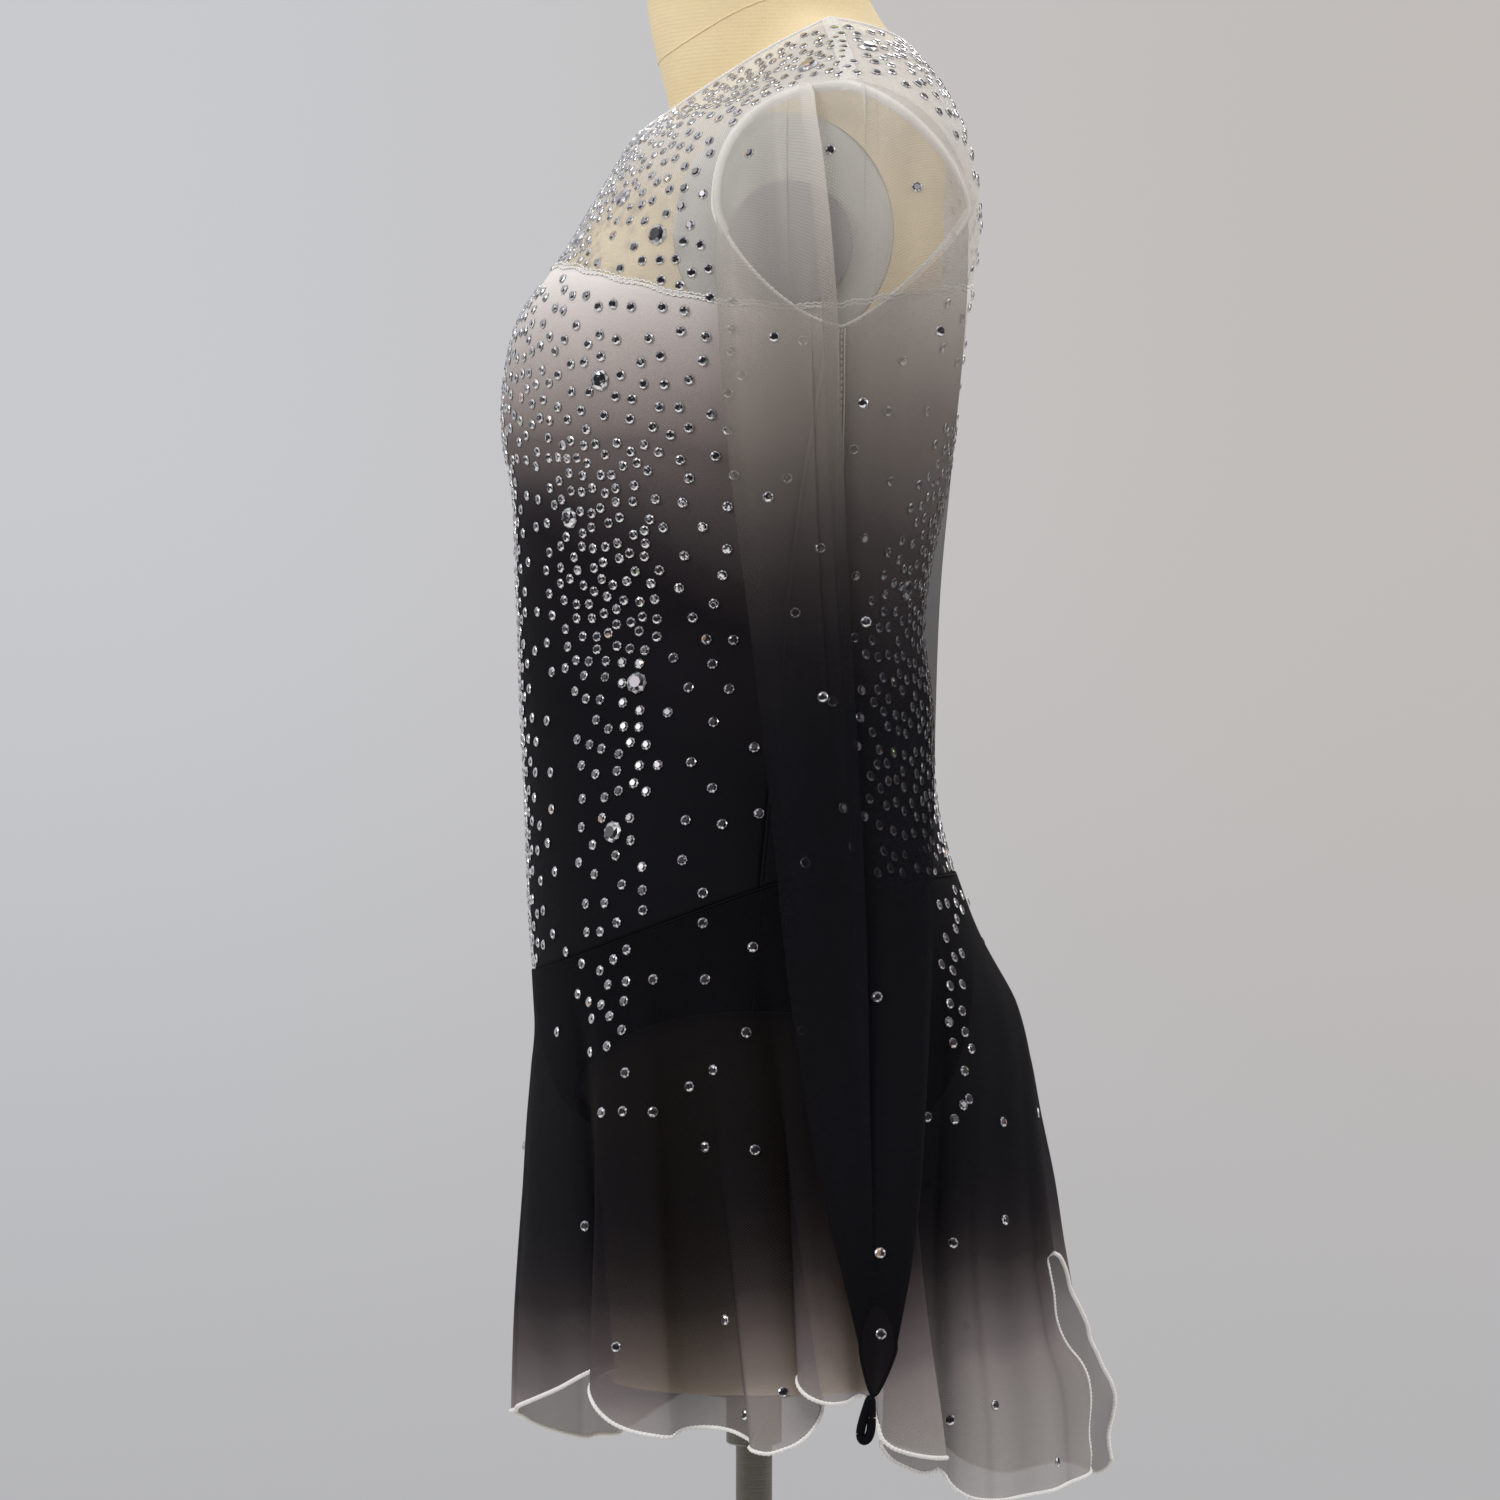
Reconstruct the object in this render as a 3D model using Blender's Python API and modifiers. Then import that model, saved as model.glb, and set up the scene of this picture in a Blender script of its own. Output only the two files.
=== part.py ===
"""A figure skating dress of stretch mesh on a limbless dress form with a round stand.

Metres, +Z up, the floor at z = 0. The front faces -Y and the wearer's left is at +X.
Angles round the body run from 0 at the centre front, through 90 at the wearer's left, to 180 at the
centre back, in degrees.
"""
import math
from collections import namedtuple

import bpy
from mathutils import Vector

# Cloth
WALL = 0.0012
SEAM_GAP = 0.0003
PANEL_GAP = 0.0005
PANEL_COLUMNS = 24
BRIEFS_COLUMNS = 18
YOKE_ROWS = 7
BODICE_ROWS = 9
BRIEFS_ROWS = 8

# One level section round the torso. front, side and back are where it lies along Y, half_width is its
# reach along X, and the squares are the exponents of its front and back halves: 2 is an ellipse.
Section = namedtuple("Section", "z front side back half_width front_square back_square")

# The body of the dress, neck to crotch, at the middle of its wall
DRESS = (
    Section(1.3960, -0.0420, 0.0395, 0.0760, 0.0560, 1.3, 2.0),
    Section(1.3890, -0.0430, 0.0405, 0.0795, 0.0665, 1.3, 2.0),
    Section(1.3750, -0.0460, 0.0440, 0.0900, 0.0925, 1.3, 2.0),
    Section(1.3600, -0.0490, 0.0475, 0.1005, 0.1240, 1.25, 2.2),
    Section(1.3450, -0.0520, 0.0490, 0.1075, 0.1500, 1.45, 2.5),
    Section(1.3300, -0.0650, 0.0490, 0.1125, 0.1635, 1.85, 3.0),
    Section(1.3100, -0.0765, 0.0480, 0.1170, 0.1685, 2.2, 3.7),
    Section(1.2900, -0.0880, 0.0470, 0.1195, 0.1695, 2.4, 4.2),
    Section(1.2700, -0.0995, 0.0460, 0.1195, 0.1685, 2.5, 4.2),
    Section(1.2500, -0.1140, 0.0440, 0.1165, 0.1650, 2.45, 3.7),
    Section(1.2300, -0.1260, 0.0410, 0.1140, 0.1585, 2.45, 3.2),
    Section(1.2000, -0.1325, 0.0360, 0.1110, 0.1500, 2.4, 2.7),
    Section(1.1700, -0.1328, 0.0310, 0.1075, 0.1445, 2.35, 2.5),
    Section(1.1400, -0.1275, 0.0260, 0.1030, 0.1375, 2.3, 2.4),
    Section(1.1000, -0.1262, 0.0210, 0.0945, 0.1260, 2.25, 2.3),
    Section(1.0670, -0.1248, 0.0170, 0.0915, 0.1185, 2.2, 2.2),
    Section(1.0300, -0.1237, 0.0140, 0.0955, 0.1255, 2.2, 2.2),
    Section(0.9800, -0.1212, 0.0090, 0.0978, 0.1430, 2.2, 2.2),
    Section(0.9500, -0.1200, 0.0060, 0.1040, 0.1520, 2.2, 2.2),
    Section(0.9200, -0.1190, 0.0035, 0.1135, 0.1592, 2.2, 2.2),
    Section(0.8900, -0.1166, 0.0015, 0.1185, 0.1635, 2.2, 2.2),
    Section(0.8600, -0.1145, 0.0000, 0.1165, 0.1640, 2.2, 2.2),
    Section(0.8350, -0.1095, 0.0000, 0.1100, 0.1605, 2.2, 2.2),
    Section(0.8130, -0.0985, 0.0000, 0.0975, 0.1480, 2.1, 2.1),
    Section(0.7985, -0.0740, 0.0000, 0.0750, 0.1200, 2.0, 2.0),
    Section(0.7915, -0.0380, 0.0000, 0.0400, 0.0800, 2.0, 2.0),
    Section(0.7900, -0.0003, 0.0000, 0.0003, 0.0450, 2.0, 2.0),
)

# Where the seams run round the body: (angle, height)
TOP_SEAM = ((0, 1.2620), (30, 1.2560), (50, 1.2450), (70, 1.2320), (90, 1.2290), (130, 1.2390), (180, 1.2500))
# The neckline climbs evenly from the front to the shoulder seam, seen from the side, then dips to the back.
NECKLINE_FRONT = 1.3390
NECKLINE_SHOULDER = 1.3890
NECKLINE_BACK = 1.3820
# The hip seam climbs evenly from the front, seen from the side, then runs level to the back.
HIP_SEAM_FRONT = 0.8860
HIP_SEAM_BACK = 0.9375
HIP_SEAM_SLOPE = 0.40
HIP_SEAM_MIDDLE = 0.9060
HIP_SEAM_SOFT_CORNER = 0.0040

# Armhole, seen from the side: middle and half sizes of its ring, and the exponent of each quarter: 2 is an
# ellipse and 1 a straight line. It comes to a point under the arm.
ARMHOLE_Y = 0.0455
ARMHOLE_Z = 1.2795
ARMHOLE_HALF_DEPTH = 0.0635
ARMHOLE_HALF_HEIGHT = 0.0610
ARMHOLE_TOP_FRONT_SQUARE = 2.3
ARMHOLE_TOP_BACK_SQUARE = 1.5
ARMHOLE_LOW_FRONT_SQUARE = 1.5
ARMHOLE_LOW_BACK_SQUARE = 1.25
BINDING_RADIUS = 0.0022
BINDING_POINTS = 28
# How far the armhole's cutter reaches to each side of the body's surface, and where its two tips are
ARMHOLE_CUT_REACH = 0.0060
ARMHOLE_CUT_TIPS = (0.1000, 0.2600)

# Leg openings: a slanted plane on each side, from the gusset's edge at (x, z) and rising outwards
LEG_LINE_X = 0.0091
LEG_LINE_Z = 0.7793
LEG_LINE_SLOPE = 0.60
LEG_CUT_LENGTH = 0.3000
LEG_CUT_DEPTH = 0.1200
LEG_CUT_WIDTH = 0.4000

# The skirt's own sections, without its folds
SKIRT = (
    Section(0.9450, -0.1210, 0.0050, 0.1085, 0.1570, 2.2, 2.2),
    Section(0.9250, -0.1208, 0.0040, 0.1178, 0.1640, 2.2, 2.2),
    Section(0.9050, -0.1198, 0.0040, 0.1255, 0.1695, 2.2, 2.2),
    Section(0.8850, -0.1182, 0.0050, 0.1328, 0.1750, 2.2, 2.2),
    Section(0.8600, -0.1168, 0.0060, 0.1410, 0.1815, 2.2, 2.15),
    Section(0.8350, -0.1174, 0.0080, 0.1465, 0.1880, 2.2, 2.1),
    Section(0.8050, -0.1190, 0.0100, 0.1510, 0.1950, 2.15, 2.1),
    Section(0.7700, -0.1200, 0.0120, 0.1580, 0.2030, 2.1, 2.05),
    Section(0.7350, -0.1215, 0.0140, 0.1640, 0.2105, 2.1, 2.0),
    Section(0.7000, -0.1225, 0.0160, 0.1710, 0.2180, 2.1, 2.0),
    Section(0.6650, -0.1225, 0.0180, 0.1790, 0.2250, 2.1, 2.0),
    Section(0.6200, -0.1220, 0.0200, 0.1855, 0.2330, 2.1, 2.0),
)
SKIRT_ROWS = 8
SKIRT_STAND_OFF = 0.0023
COLUMNS_IN_HALF_FOLD = 4
FOLD_SPREAD = 0.42
FOLD_GROWTH = 1.2
VALLEY_RAISE = 0.016
# The share of its length over which the skirt leaves the body
SKIRT_LEAVES_BODY = 0.22
# A ridge of the skirt: where it stands, and how far it stands out at the hem
Fold = namedtuple("Fold", "angle depth")
FOLDS = (
    Fold(-168, 0.013), Fold(-149, 0.012), Fold(-127, 0.015), Fold(-106, 0.011),
    Fold(-84, 0.013), Fold(-62, 0.014), Fold(-38, 0.013), Fold(-13, 0.009),
    Fold(11, 0.009), Fold(36, 0.014), Fold(64, 0.016), Fold(86, 0.010),
    Fold(104, 0.011), Fold(126, 0.016), Fold(148, 0.013), Fold(168, 0.014),
)
# The side seams lie halfway down a fold's flank, where the cloth is flattest.
LEFT_SIDE_SEAM = 90.5
RIGHT_SIDE_SEAM = -89.5
# The hem's height at the ridges, by the angle round the body
HEM = (
    (-180, 0.6230), (-150, 0.6300), (-120, 0.6400), (-90, 0.6500), (-60, 0.6480), (-30, 0.6410), (0, 0.6400),
    (14, 0.6500), (36, 0.6710), (64, 0.6620), (86, 0.6590), (104, 0.6560), (126, 0.6340), (150, 0.6290),
    (180, 0.6230),
)
SLIT_TOP = 0.7310
SLIT_ANGLE = 4.5
SLIT_SPREAD = 20

# Left sleeve: each ring's outer and inner edge, and its front and back, in the middle of its wall.
# The armhole itself comes before the first ring.
SleeveRing = namedtuple("SleeveRing", "outer_x outer_z inner_x inner_z front back")
SLEEVE = (
    SleeveRing(0.1730, 1.3400, 0.1615, 1.2135, -0.0185, 0.1090),
    SleeveRing(0.1905, 1.3210, 0.1650, 1.2010, -0.0183, 0.1085),
    SleeveRing(0.2000, 1.2800, 0.1675, 1.1830, -0.0175, 0.1075),
    SleeveRing(0.2030, 1.2250, 0.1690, 1.1600, -0.0155, 0.1045),
    SleeveRing(0.2035, 1.1600, 0.1705, 1.1250, -0.0110, 0.0995),
    SleeveRing(0.2030, 1.0900, 0.1725, 1.0750, -0.0035, 0.0940),
    SleeveRing(0.2030, 1.0200, 0.1755, 1.0150, 0.0045, 0.0915),
    SleeveRing(0.2050, 0.9550, 0.1800, 0.9550, 0.0110, 0.0905),
    SleeveRing(0.2115, 0.8950, 0.1890, 0.8950, 0.0170, 0.0893),
    SleeveRing(0.2220, 0.8400, 0.2005, 0.8400, 0.0245, 0.0865),
    SleeveRing(0.2345, 0.7900, 0.2145, 0.7900, 0.0335, 0.0830),
    SleeveRing(0.2470, 0.7450, 0.2280, 0.7560, 0.0430, 0.0778),
    SleeveRing(0.2585, 0.6915, 0.2400, 0.7330, 0.0495, 0.0700),
)
SLEEVE_COLUMNS = 16
# Each sleeve is two tubes that meet at the elbow, counted in rings.
SLEEVE_ELBOW = 6.8
ELBOW_HALF_GAP = 0.004
UPPER_SLEEVE_ROWS = 9
LOWER_SLEEVE_ROWS = 8
SLEEVE_STANDS_OFF = 0.0046
# A long fold down the outer side: where round the ring, how deep, how wide, and the rings it runs through
SleeveFold = namedtuple("SleeveFold", "angle depth width first last")
SLEEVE_FOLDS = (
    SleeveFold(-14, 0.0050, 17, 1.5, 11.0),
    SleeveFold(38, 0.0030, 15, 2.5, 8.0),
)
SLEEVE_FOLD_DEEPENS = 1.5
SLEEVE_FOLD_FADES = 3.0

# Finger loop: a hanging drop of cord under the point of the hand cover
LOOP_CORD_RADIUS = 0.0016
LOOP_HALF_WIDTH = 0.0045
LOOP_LENGTH = 0.0240
LOOP_POINTS = 16
LOOP_SWING = 0.0045
LOOP_NARROW_END = 0.55

# The dress form
FORM = (
    Section(1.3900, 0.0000, 0.0300, 0.0700, 0.0560, 1.6, 2.0),
    Section(1.3750, -0.0150, 0.0440, 0.0865, 0.0902, 1.3, 2.0),
    Section(1.3600, -0.0270, 0.0475, 0.0965, 0.1209, 1.25, 2.2),
    Section(1.3450, -0.0400, 0.0490, 0.1010, 0.1290, 1.45, 2.5),
    Section(1.3300, -0.0560, 0.0480, 0.1025, 0.1345, 1.8, 2.8),
    Section(1.3100, -0.0700, 0.0475, 0.1030, 0.1382, 2.3, 3.0),
    Section(1.2900, -0.0820, 0.0470, 0.1025, 0.1388, 2.8, 3.0),
    Section(1.2700, -0.0940, 0.0460, 0.1020, 0.1390, 3.0, 3.0),
    Section(1.2500, -0.1090, 0.0440, 0.1015, 0.1392, 2.9, 3.0),
    Section(1.2300, -0.1210, 0.0410, 0.1010, 0.1398, 2.7, 2.9),
    Section(1.2000, -0.1280, 0.0360, 0.1000, 0.1402, 2.45, 2.7),
    Section(1.1700, -0.1288, 0.0310, 0.0990, 0.1385, 2.35, 2.5),
    Section(1.1400, -0.1238, 0.0260, 0.0970, 0.1335, 2.3, 2.4),
    Section(1.1000, -0.1228, 0.0210, 0.0905, 0.1222, 2.25, 2.3),
    Section(1.0670, -0.1216, 0.0170, 0.0880, 0.1150, 2.2, 2.2),
    Section(1.0300, -0.1205, 0.0140, 0.0920, 0.1220, 2.2, 2.2),
    Section(0.9800, -0.1180, 0.0090, 0.0942, 0.1395, 2.2, 2.2),
    Section(0.9500, -0.1172, 0.0060, 0.1005, 0.1485, 2.2, 2.2),
    Section(0.9200, -0.1157, 0.0035, 0.1095, 0.1557, 2.2, 2.2),
    Section(0.8900, -0.1132, 0.0015, 0.1145, 0.1600, 2.2, 2.2),
    Section(0.8600, -0.1110, 0.0000, 0.1125, 0.1603, 2.2, 2.2),
    Section(0.8370, -0.1058, 0.0000, 0.1060, 0.1560, 2.2, 2.2),
    Section(0.8180, -0.0950, 0.0000, 0.0940, 0.1430, 2.1, 2.1),
    Section(0.8050, -0.0720, 0.0000, 0.0730, 0.1150, 2.0, 2.0),
    Section(0.7985, -0.0360, 0.0000, 0.0380, 0.0700, 2.0, 2.0),
)
FORM_COLUMNS = 24

# A leaning ring: its middle, its half sizes along X and Y, and how much it rises for each metre outwards
LeaningRing = namedtuple("LeaningRing", "x y z half_x half_y rise")
NECK = (
    LeaningRing(0.0, -0.0040, 1.4620, 0.0480, 0.0535, 0.0),
    LeaningRing(0.0, -0.0035, 1.4590, 0.0525, 0.0585, 0.0),
    LeaningRing(0.0, 0.0032, 1.4090, 0.0530, 0.0605, 0.0),
    LeaningRing(0.0, 0.0120, 1.3850, 0.0545, 0.0655, 0.0),
    LeaningRing(0.0, 0.0160, 1.3600, 0.0560, 0.0630, 0.0),
    LeaningRing(0.0, 0.0160, 1.3300, 0.0500, 0.0560, 0.0),
)
THIGH = (
    LeaningRing(0.0940, 0.0, 0.8440, 0.0590, 0.0800, 0.60),
    LeaningRing(0.0940, 0.0, 0.8230, 0.0610, 0.0840, 0.55),
    LeaningRing(0.0935, 0.0020, 0.7850, 0.0605, 0.0850, 0.25),
    LeaningRing(0.0920, 0.0030, 0.7300, 0.0595, 0.0820, 0.05),
    LeaningRing(0.0900, 0.0040, 0.6750, 0.0585, 0.0790, 0.0),
)
THIGH_COLUMNS = 20

PLATE_Y = 0.0160
PLATE_Z = 1.2690
PLATE_HALF_DEPTH = 0.0560
PLATE_HALF_HEIGHT = 0.0610
PLATE_INNER_X = 0.1265
PLATE_OUTER_X = 0.1370
PLATE_SIDES = 28
PLATE_RECESS_REACH = 0.0200
DISC_Y = 0.0190
DISC_Z = 1.2620
DISC_RADIUS = 0.0325
DISC_THICKNESS = 0.0045
DISC_EDGE = 0.0012
DISC_SIDES = 24

# The stand: its pole goes up into the left thigh
POLE_X = 0.0850
POLE_Y = 0.0010
POLE_RADIUS = 0.0095
POLE_SIDES = 20
SOCKET_DEPTH = 0.0250
COLLAR_HEIGHT = 0.0320
COLLAR_FLANGE_RADIUS = 0.0300
COLLAR_FLANGE = 0.0050
COLLAR_NECK_RADIUS = 0.0145
BASE_X = 0.0400
BASE_RADIUS = 0.2000
BASE_THICKNESS = 0.0060
BASE_EDGE = 0.0015
FOOT_FLANGE_RADIUS = 0.0320
FOOT_FLANGE = 0.0050
FOOT_RADIUS = 0.0160
FOOT_HEIGHT = 0.0320
TURNED_STEPS = 40

SHEER_WHITE = ("sheer_white_mesh", (0.78, 0.76, 0.73), 0.60, 0.0)
SLEEVE_MESH = ("dyed_sleeve_mesh", (0.20, 0.19, 0.18), 0.60, 0.0)
DYED_STRETCH = ("dyed_stretch_cloth", (0.16, 0.15, 0.16), 0.50, 0.0)
BLACK_STRETCH = ("black_stretch_cloth", (0.012, 0.012, 0.015), 0.50, 0.0)
SKIRT_MESH = ("dyed_skirt_mesh", (0.05, 0.045, 0.045), 0.60, 0.0)
WHITE_BINDING = ("white_binding", (0.80, 0.78, 0.76), 0.55, 0.0)
FORM_CLOTH = ("cream_form_cloth", (0.72, 0.60, 0.42), 0.75, 0.0)
PLATE_GREY = ("grey_end_plate", (0.30, 0.31, 0.34), 0.45, 0.0)
DISC_GREY = ("dark_end_disc", (0.17, 0.15, 0.18), 0.40, 0.0)
STEEL = ("brushed_steel", (0.62, 0.61, 0.60), 0.28, 1.0)


def clear_scene():
    for obj in list(bpy.data.objects):
        bpy.data.objects.remove(obj, do_unlink=True)


def new_collection(name):
    collection = bpy.data.collections.new(name)
    bpy.context.scene.collection.children.link(collection)
    return collection


clear_scene()
DRESS_PARTS = new_collection("skating_dress_on_form")
CUTTERS = new_collection("cutters")


def material(finish):
    name, colour, roughness, metallic = finish
    found = bpy.data.materials.get(name)
    if found:
        return found
    made = bpy.data.materials.new(name)
    made.use_nodes = True
    shader = made.node_tree.nodes["Principled BSDF"]
    shader.inputs["Base Color"].default_value = (*colour, 1.0)
    shader.inputs["Roughness"].default_value = roughness
    shader.inputs["Metallic"].default_value = metallic
    return made


def new_object(name, points, faces, finish):
    mesh = bpy.data.meshes.new(name)
    mesh.from_pydata([tuple(p) for p in points], [], faces)
    mesh.shade_smooth()
    obj = bpy.data.objects.new(name, mesh)
    if finish:
        mesh.materials.append(material(finish))
        DRESS_PARTS.objects.link(obj)
    else:
        obj.hide_render = True
        obj.display_type = "WIRE"
        CUTTERS.objects.link(obj)
    return obj


def cut(obj, cutter, operation="DIFFERENCE"):
    boolean = obj.modifiers.new(cutter.name, "BOOLEAN")
    boolean.operation = operation
    boolean.solver = "EXACT"
    boolean.object = cutter


# Curves through short tables

def hermite(a, b, start, end, u):
    """From a to b as u goes from 0 to 1, leaving at the slope start and arriving at the slope end."""
    return (
        a * (2 * u**3 - 3 * u**2 + 1) + b * (3 * u**2 - 2 * u**3)
        + start * (u**3 - 2 * u**2 + u) + end * (u**3 - u**2)
    )


def spline(values, t):
    """A smooth curve through evenly numbered values, read at the number t."""
    last = len(values) - 1
    first = max(0, min(int(t), last - 1))
    a, b = values[first], values[first + 1]
    before = values[first - 1] if first > 0 else 2 * a - b
    after = values[first + 2] if first + 2 <= last else 2 * b - a
    return hermite(a, b, (b - before) / 2, (after - a) / 2, t - first)


def eased(share):
    share = max(0.0, min(1.0, share))
    return share * share * (3 - 2 * share)


def height_at(table, angle):
    """A seam's height at an angle, smooth through its table's rows and level at both ends."""
    last = len(table) - 1
    i = 0
    while i < last - 1 and angle > table[i + 1][0]:
        i += 1
    (a, low), (b, high) = table[i], table[i + 1]
    start = (high - table[i - 1][1]) / (b - table[i - 1][0]) if i > 0 else 0
    end = (table[i + 2][1] - low) / (table[i + 2][0] - a) if i + 2 <= last else 0
    return hermite(low, high, start * (b - a), end * (b - a), (angle - a) / (b - a))


def section_at(rows, t):
    return Section(*(spline(column, t) for column in zip(*rows)))


def number_at(rows, z):
    """The row number at which the sections come down to the height z."""
    heights = [row.z for row in rows]
    low, high = 0.0, len(rows) - 1.0
    for _ in range(40):
        middle = (low + high) / 2
        if spline(heights, middle) > z:
            low = middle
        else:
            high = middle
    return low


def section_point(section, angle):
    cosine, sine = math.cos(math.radians(angle)), math.sin(math.radians(angle))
    square, reach = section.front_square, section.front
    if cosine < 0:
        square, reach = section.back_square, section.back
    r = (abs(cosine) ** square + abs(sine) ** square) ** (-1 / square)
    y = section.side + (reach - section.side) * r * abs(cosine)
    return Vector((section.half_width * r * sine, y, section.z))


def body_point(rows, t, angle):
    return section_point(section_at(rows, t), angle)


def hip_seam_height(angle):
    section = section_at(DRESS, number_at(DRESS, HIP_SEAM_MIDDLE))
    climb = HIP_SEAM_FRONT + HIP_SEAM_SLOPE * (section_point(section, angle).y - section.front)
    return (climb + HIP_SEAM_BACK - math.hypot(climb - HIP_SEAM_BACK, HIP_SEAM_SOFT_CORNER)) / 2


def side_reach(y, z):
    """How far out along X the dress body lies at a place seen from the side."""
    section = section_at(DRESS, number_at(DRESS, z))
    square, reach = section.front_square, section.front
    if y > section.side:
        square, reach = section.back_square, section.back
    share = min(1.0, abs((y - section.side) / (reach - section.side)))
    return section.half_width * (1 - share**square) ** (1 / square)


# Cloth walls

def cloth_wall(name, rows, finish, closed=False):
    """A wall through rows of points: the open sheet, thickened evenly to both sides."""
    across = len(rows[0])
    points = [p for row in rows for p in row]
    faces = []
    for i in range(len(rows) - 1):
        for j in range(across if closed else across - 1):
            k = (j + 1) % across
            faces.append((i * across + j, (i + 1) * across + j, (i + 1) * across + k, i * across + k))
    obj = new_object(name, points, faces, finish)
    solidify = obj.modifiers.new("wall", "SOLIDIFY")
    solidify.thickness = WALL
    solidify.offset = 0
    solidify.use_even_offset = True
    return obj


def spaced(first, last, steps):
    return [first + (last - first) * i / steps for i in range(steps + 1)]


def body_panel(name, angles, top, bottom, rows, finish):
    """A panel of the dress body between two seams, each a height for an angle."""
    def numbers(angle):
        return spaced(number_at(DRESS, top(angle)), number_at(DRESS, bottom(angle)), rows)
    columns = [[body_point(DRESS, t, angle) for t in numbers(angle)] for angle in angles]
    return cloth_wall(name, list(zip(*columns)), finish)


def half_gap_angle(radius):
    return math.degrees(PANEL_GAP / 2 / radius)


def body_angles(back, columns):
    """The columns of a front or back panel, short of the side seams by half a gap."""
    gap = half_gap_angle(DRESS[2].half_width)
    if back:
        return spaced(90 + gap, 270 - gap, columns)
    return spaced(-90 + gap, 90 - gap, columns)


def from_front(angle):
    """The same angle counted to 180 on either side of the front."""
    return (angle + 180) % 360 - 180


def neckline(angle):
    """The neckline's height: the body's surface cut by a slanting plane in front and another behind."""
    shoulder = DRESS[1]
    height = NECKLINE_SHOULDER
    for _ in range(12):
        y = body_point(DRESS, number_at(DRESS, height), angle).y
        if y < shoulder.side:
            share = (shoulder.side - y) / (shoulder.side - DRESS[4].front)
            height = NECKLINE_SHOULDER + (NECKLINE_FRONT - NECKLINE_SHOULDER) * share
        else:
            share = (y - shoulder.side) / (shoulder.back - shoulder.side)
            height = NECKLINE_SHOULDER + (NECKLINE_BACK - NECKLINE_SHOULDER) * share
    return height


def above_top_seam(angle):
    return height_at(TOP_SEAM, abs(from_front(angle))) + PANEL_GAP / 2


def below_top_seam(angle):
    return height_at(TOP_SEAM, abs(from_front(angle))) - PANEL_GAP / 2


def above_hip_seam(angle):
    return hip_seam_height(from_front(angle)) + PANEL_GAP / 2


def below_hip_seam(angle):
    return hip_seam_height(from_front(angle)) - PANEL_GAP / 2


def crotch(angle):
    return DRESS[-1].z


def armhole_edge(turn):
    """The left armhole's ring seen from the side, turn 0 at its top and 90 at its back."""
    cosine, sine = math.cos(math.radians(turn)), math.sin(math.radians(turn))
    if cosine > 0:
        square = ARMHOLE_TOP_BACK_SQUARE if sine > 0 else ARMHOLE_TOP_FRONT_SQUARE
    else:
        square = ARMHOLE_LOW_BACK_SQUARE if sine > 0 else ARMHOLE_LOW_FRONT_SQUARE
    r = (abs(cosine) ** square + abs(sine) ** square) ** (-1 / square)
    return ARMHOLE_Y + ARMHOLE_HALF_DEPTH * r * sine, ARMHOLE_Z + ARMHOLE_HALF_HEIGHT * r * cosine


def armhole_place(turn):
    """A place on the left armhole's ring, and the way out of the body there."""
    y, z = armhole_edge(turn)
    step = 0.001
    slope_y = (side_reach(y + step, z) - side_reach(y - step, z)) / (2 * step)
    slope_z = (side_reach(y, z + step) - side_reach(y, z - step)) / (2 * step)
    return Vector((side_reach(y, z), y, z)), Vector((1, -slope_y, -slope_z)).normalized()


def armhole_cutter(side):
    """A plug through the side of the body, square to its surface and a little larger than the binding."""
    rings = [[], []]
    for turn in spaced(0, 360, BINDING_POINTS)[:-1]:
        place, outward = armhole_place(turn)
        along = armhole_place(turn + 1)[0] - armhole_place(turn - 1)[0]
        edge = place + outward.cross(along).normalized() * (BINDING_RADIUS + 2 * SEAM_GAP)
        rings[0].append(edge - outward * ARMHOLE_CUT_REACH)
        rings[1].append(edge + outward * ARMHOLE_CUT_REACH)
    tips = [Vector((x, ARMHOLE_Y, ARMHOLE_Z)) for x in ARMHOLE_CUT_TIPS]
    points = [(side * p.x, p.y, p.z) for p in rings[0] + rings[1] + tips]
    tip = len(points) - 2
    faces = []
    for i in range(BINDING_POINTS):
        k = (i + 1) % BINDING_POINTS
        j, m = i + BINDING_POINTS, k + BINDING_POINTS
        faces += [(tip, i, k), (i, j, k), (k, j, m), (tip + 1, m, j)]
    if side < 0:
        faces = [tuple(reversed(face)) for face in faces]
    return new_object("armhole_cutter_" + side_name(side), points, faces, None)


def side_name(side):
    return "left" if side > 0 else "right"


def closed_loft(name, points, around, flipped, finish):
    """A closed body through rings of points, its first and last ring filled."""
    rings = len(points) // around
    faces = [tuple(reversed(range(around))), tuple(range((rings - 1) * around, rings * around))]
    for i in range(rings - 1):
        for j in range(around):
            k = (j + 1) % around
            faces.append((i * around + j, i * around + k, (i + 1) * around + k, (i + 1) * around + j))
    if flipped:
        faces = [tuple(reversed(face)) for face in faces]
    return new_object(name, points, faces, finish)


def leg_cutter(side):
    """A block under the slanted plane of one leg opening."""
    slope = math.atan(LEG_LINE_SLOPE)
    along = Vector((math.cos(slope), 0, math.sin(slope)))
    down = Vector((math.sin(slope), 0, -math.cos(slope)))
    start = Vector((LEG_LINE_X, 0, LEG_LINE_Z))
    corners = ((0, 0), (0, LEG_CUT_DEPTH), (LEG_CUT_LENGTH, LEG_CUT_DEPTH), (LEG_CUT_LENGTH, 0))
    points = []
    for y in (-LEG_CUT_WIDTH / 2, LEG_CUT_WIDTH / 2):
        for length, depth in corners:
            corner = start + along * length + down * depth
            points.append((side * corner.x, y, corner.z))
    return closed_loft("leg_cutter_" + side_name(side), points, 4, side > 0, None)


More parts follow.
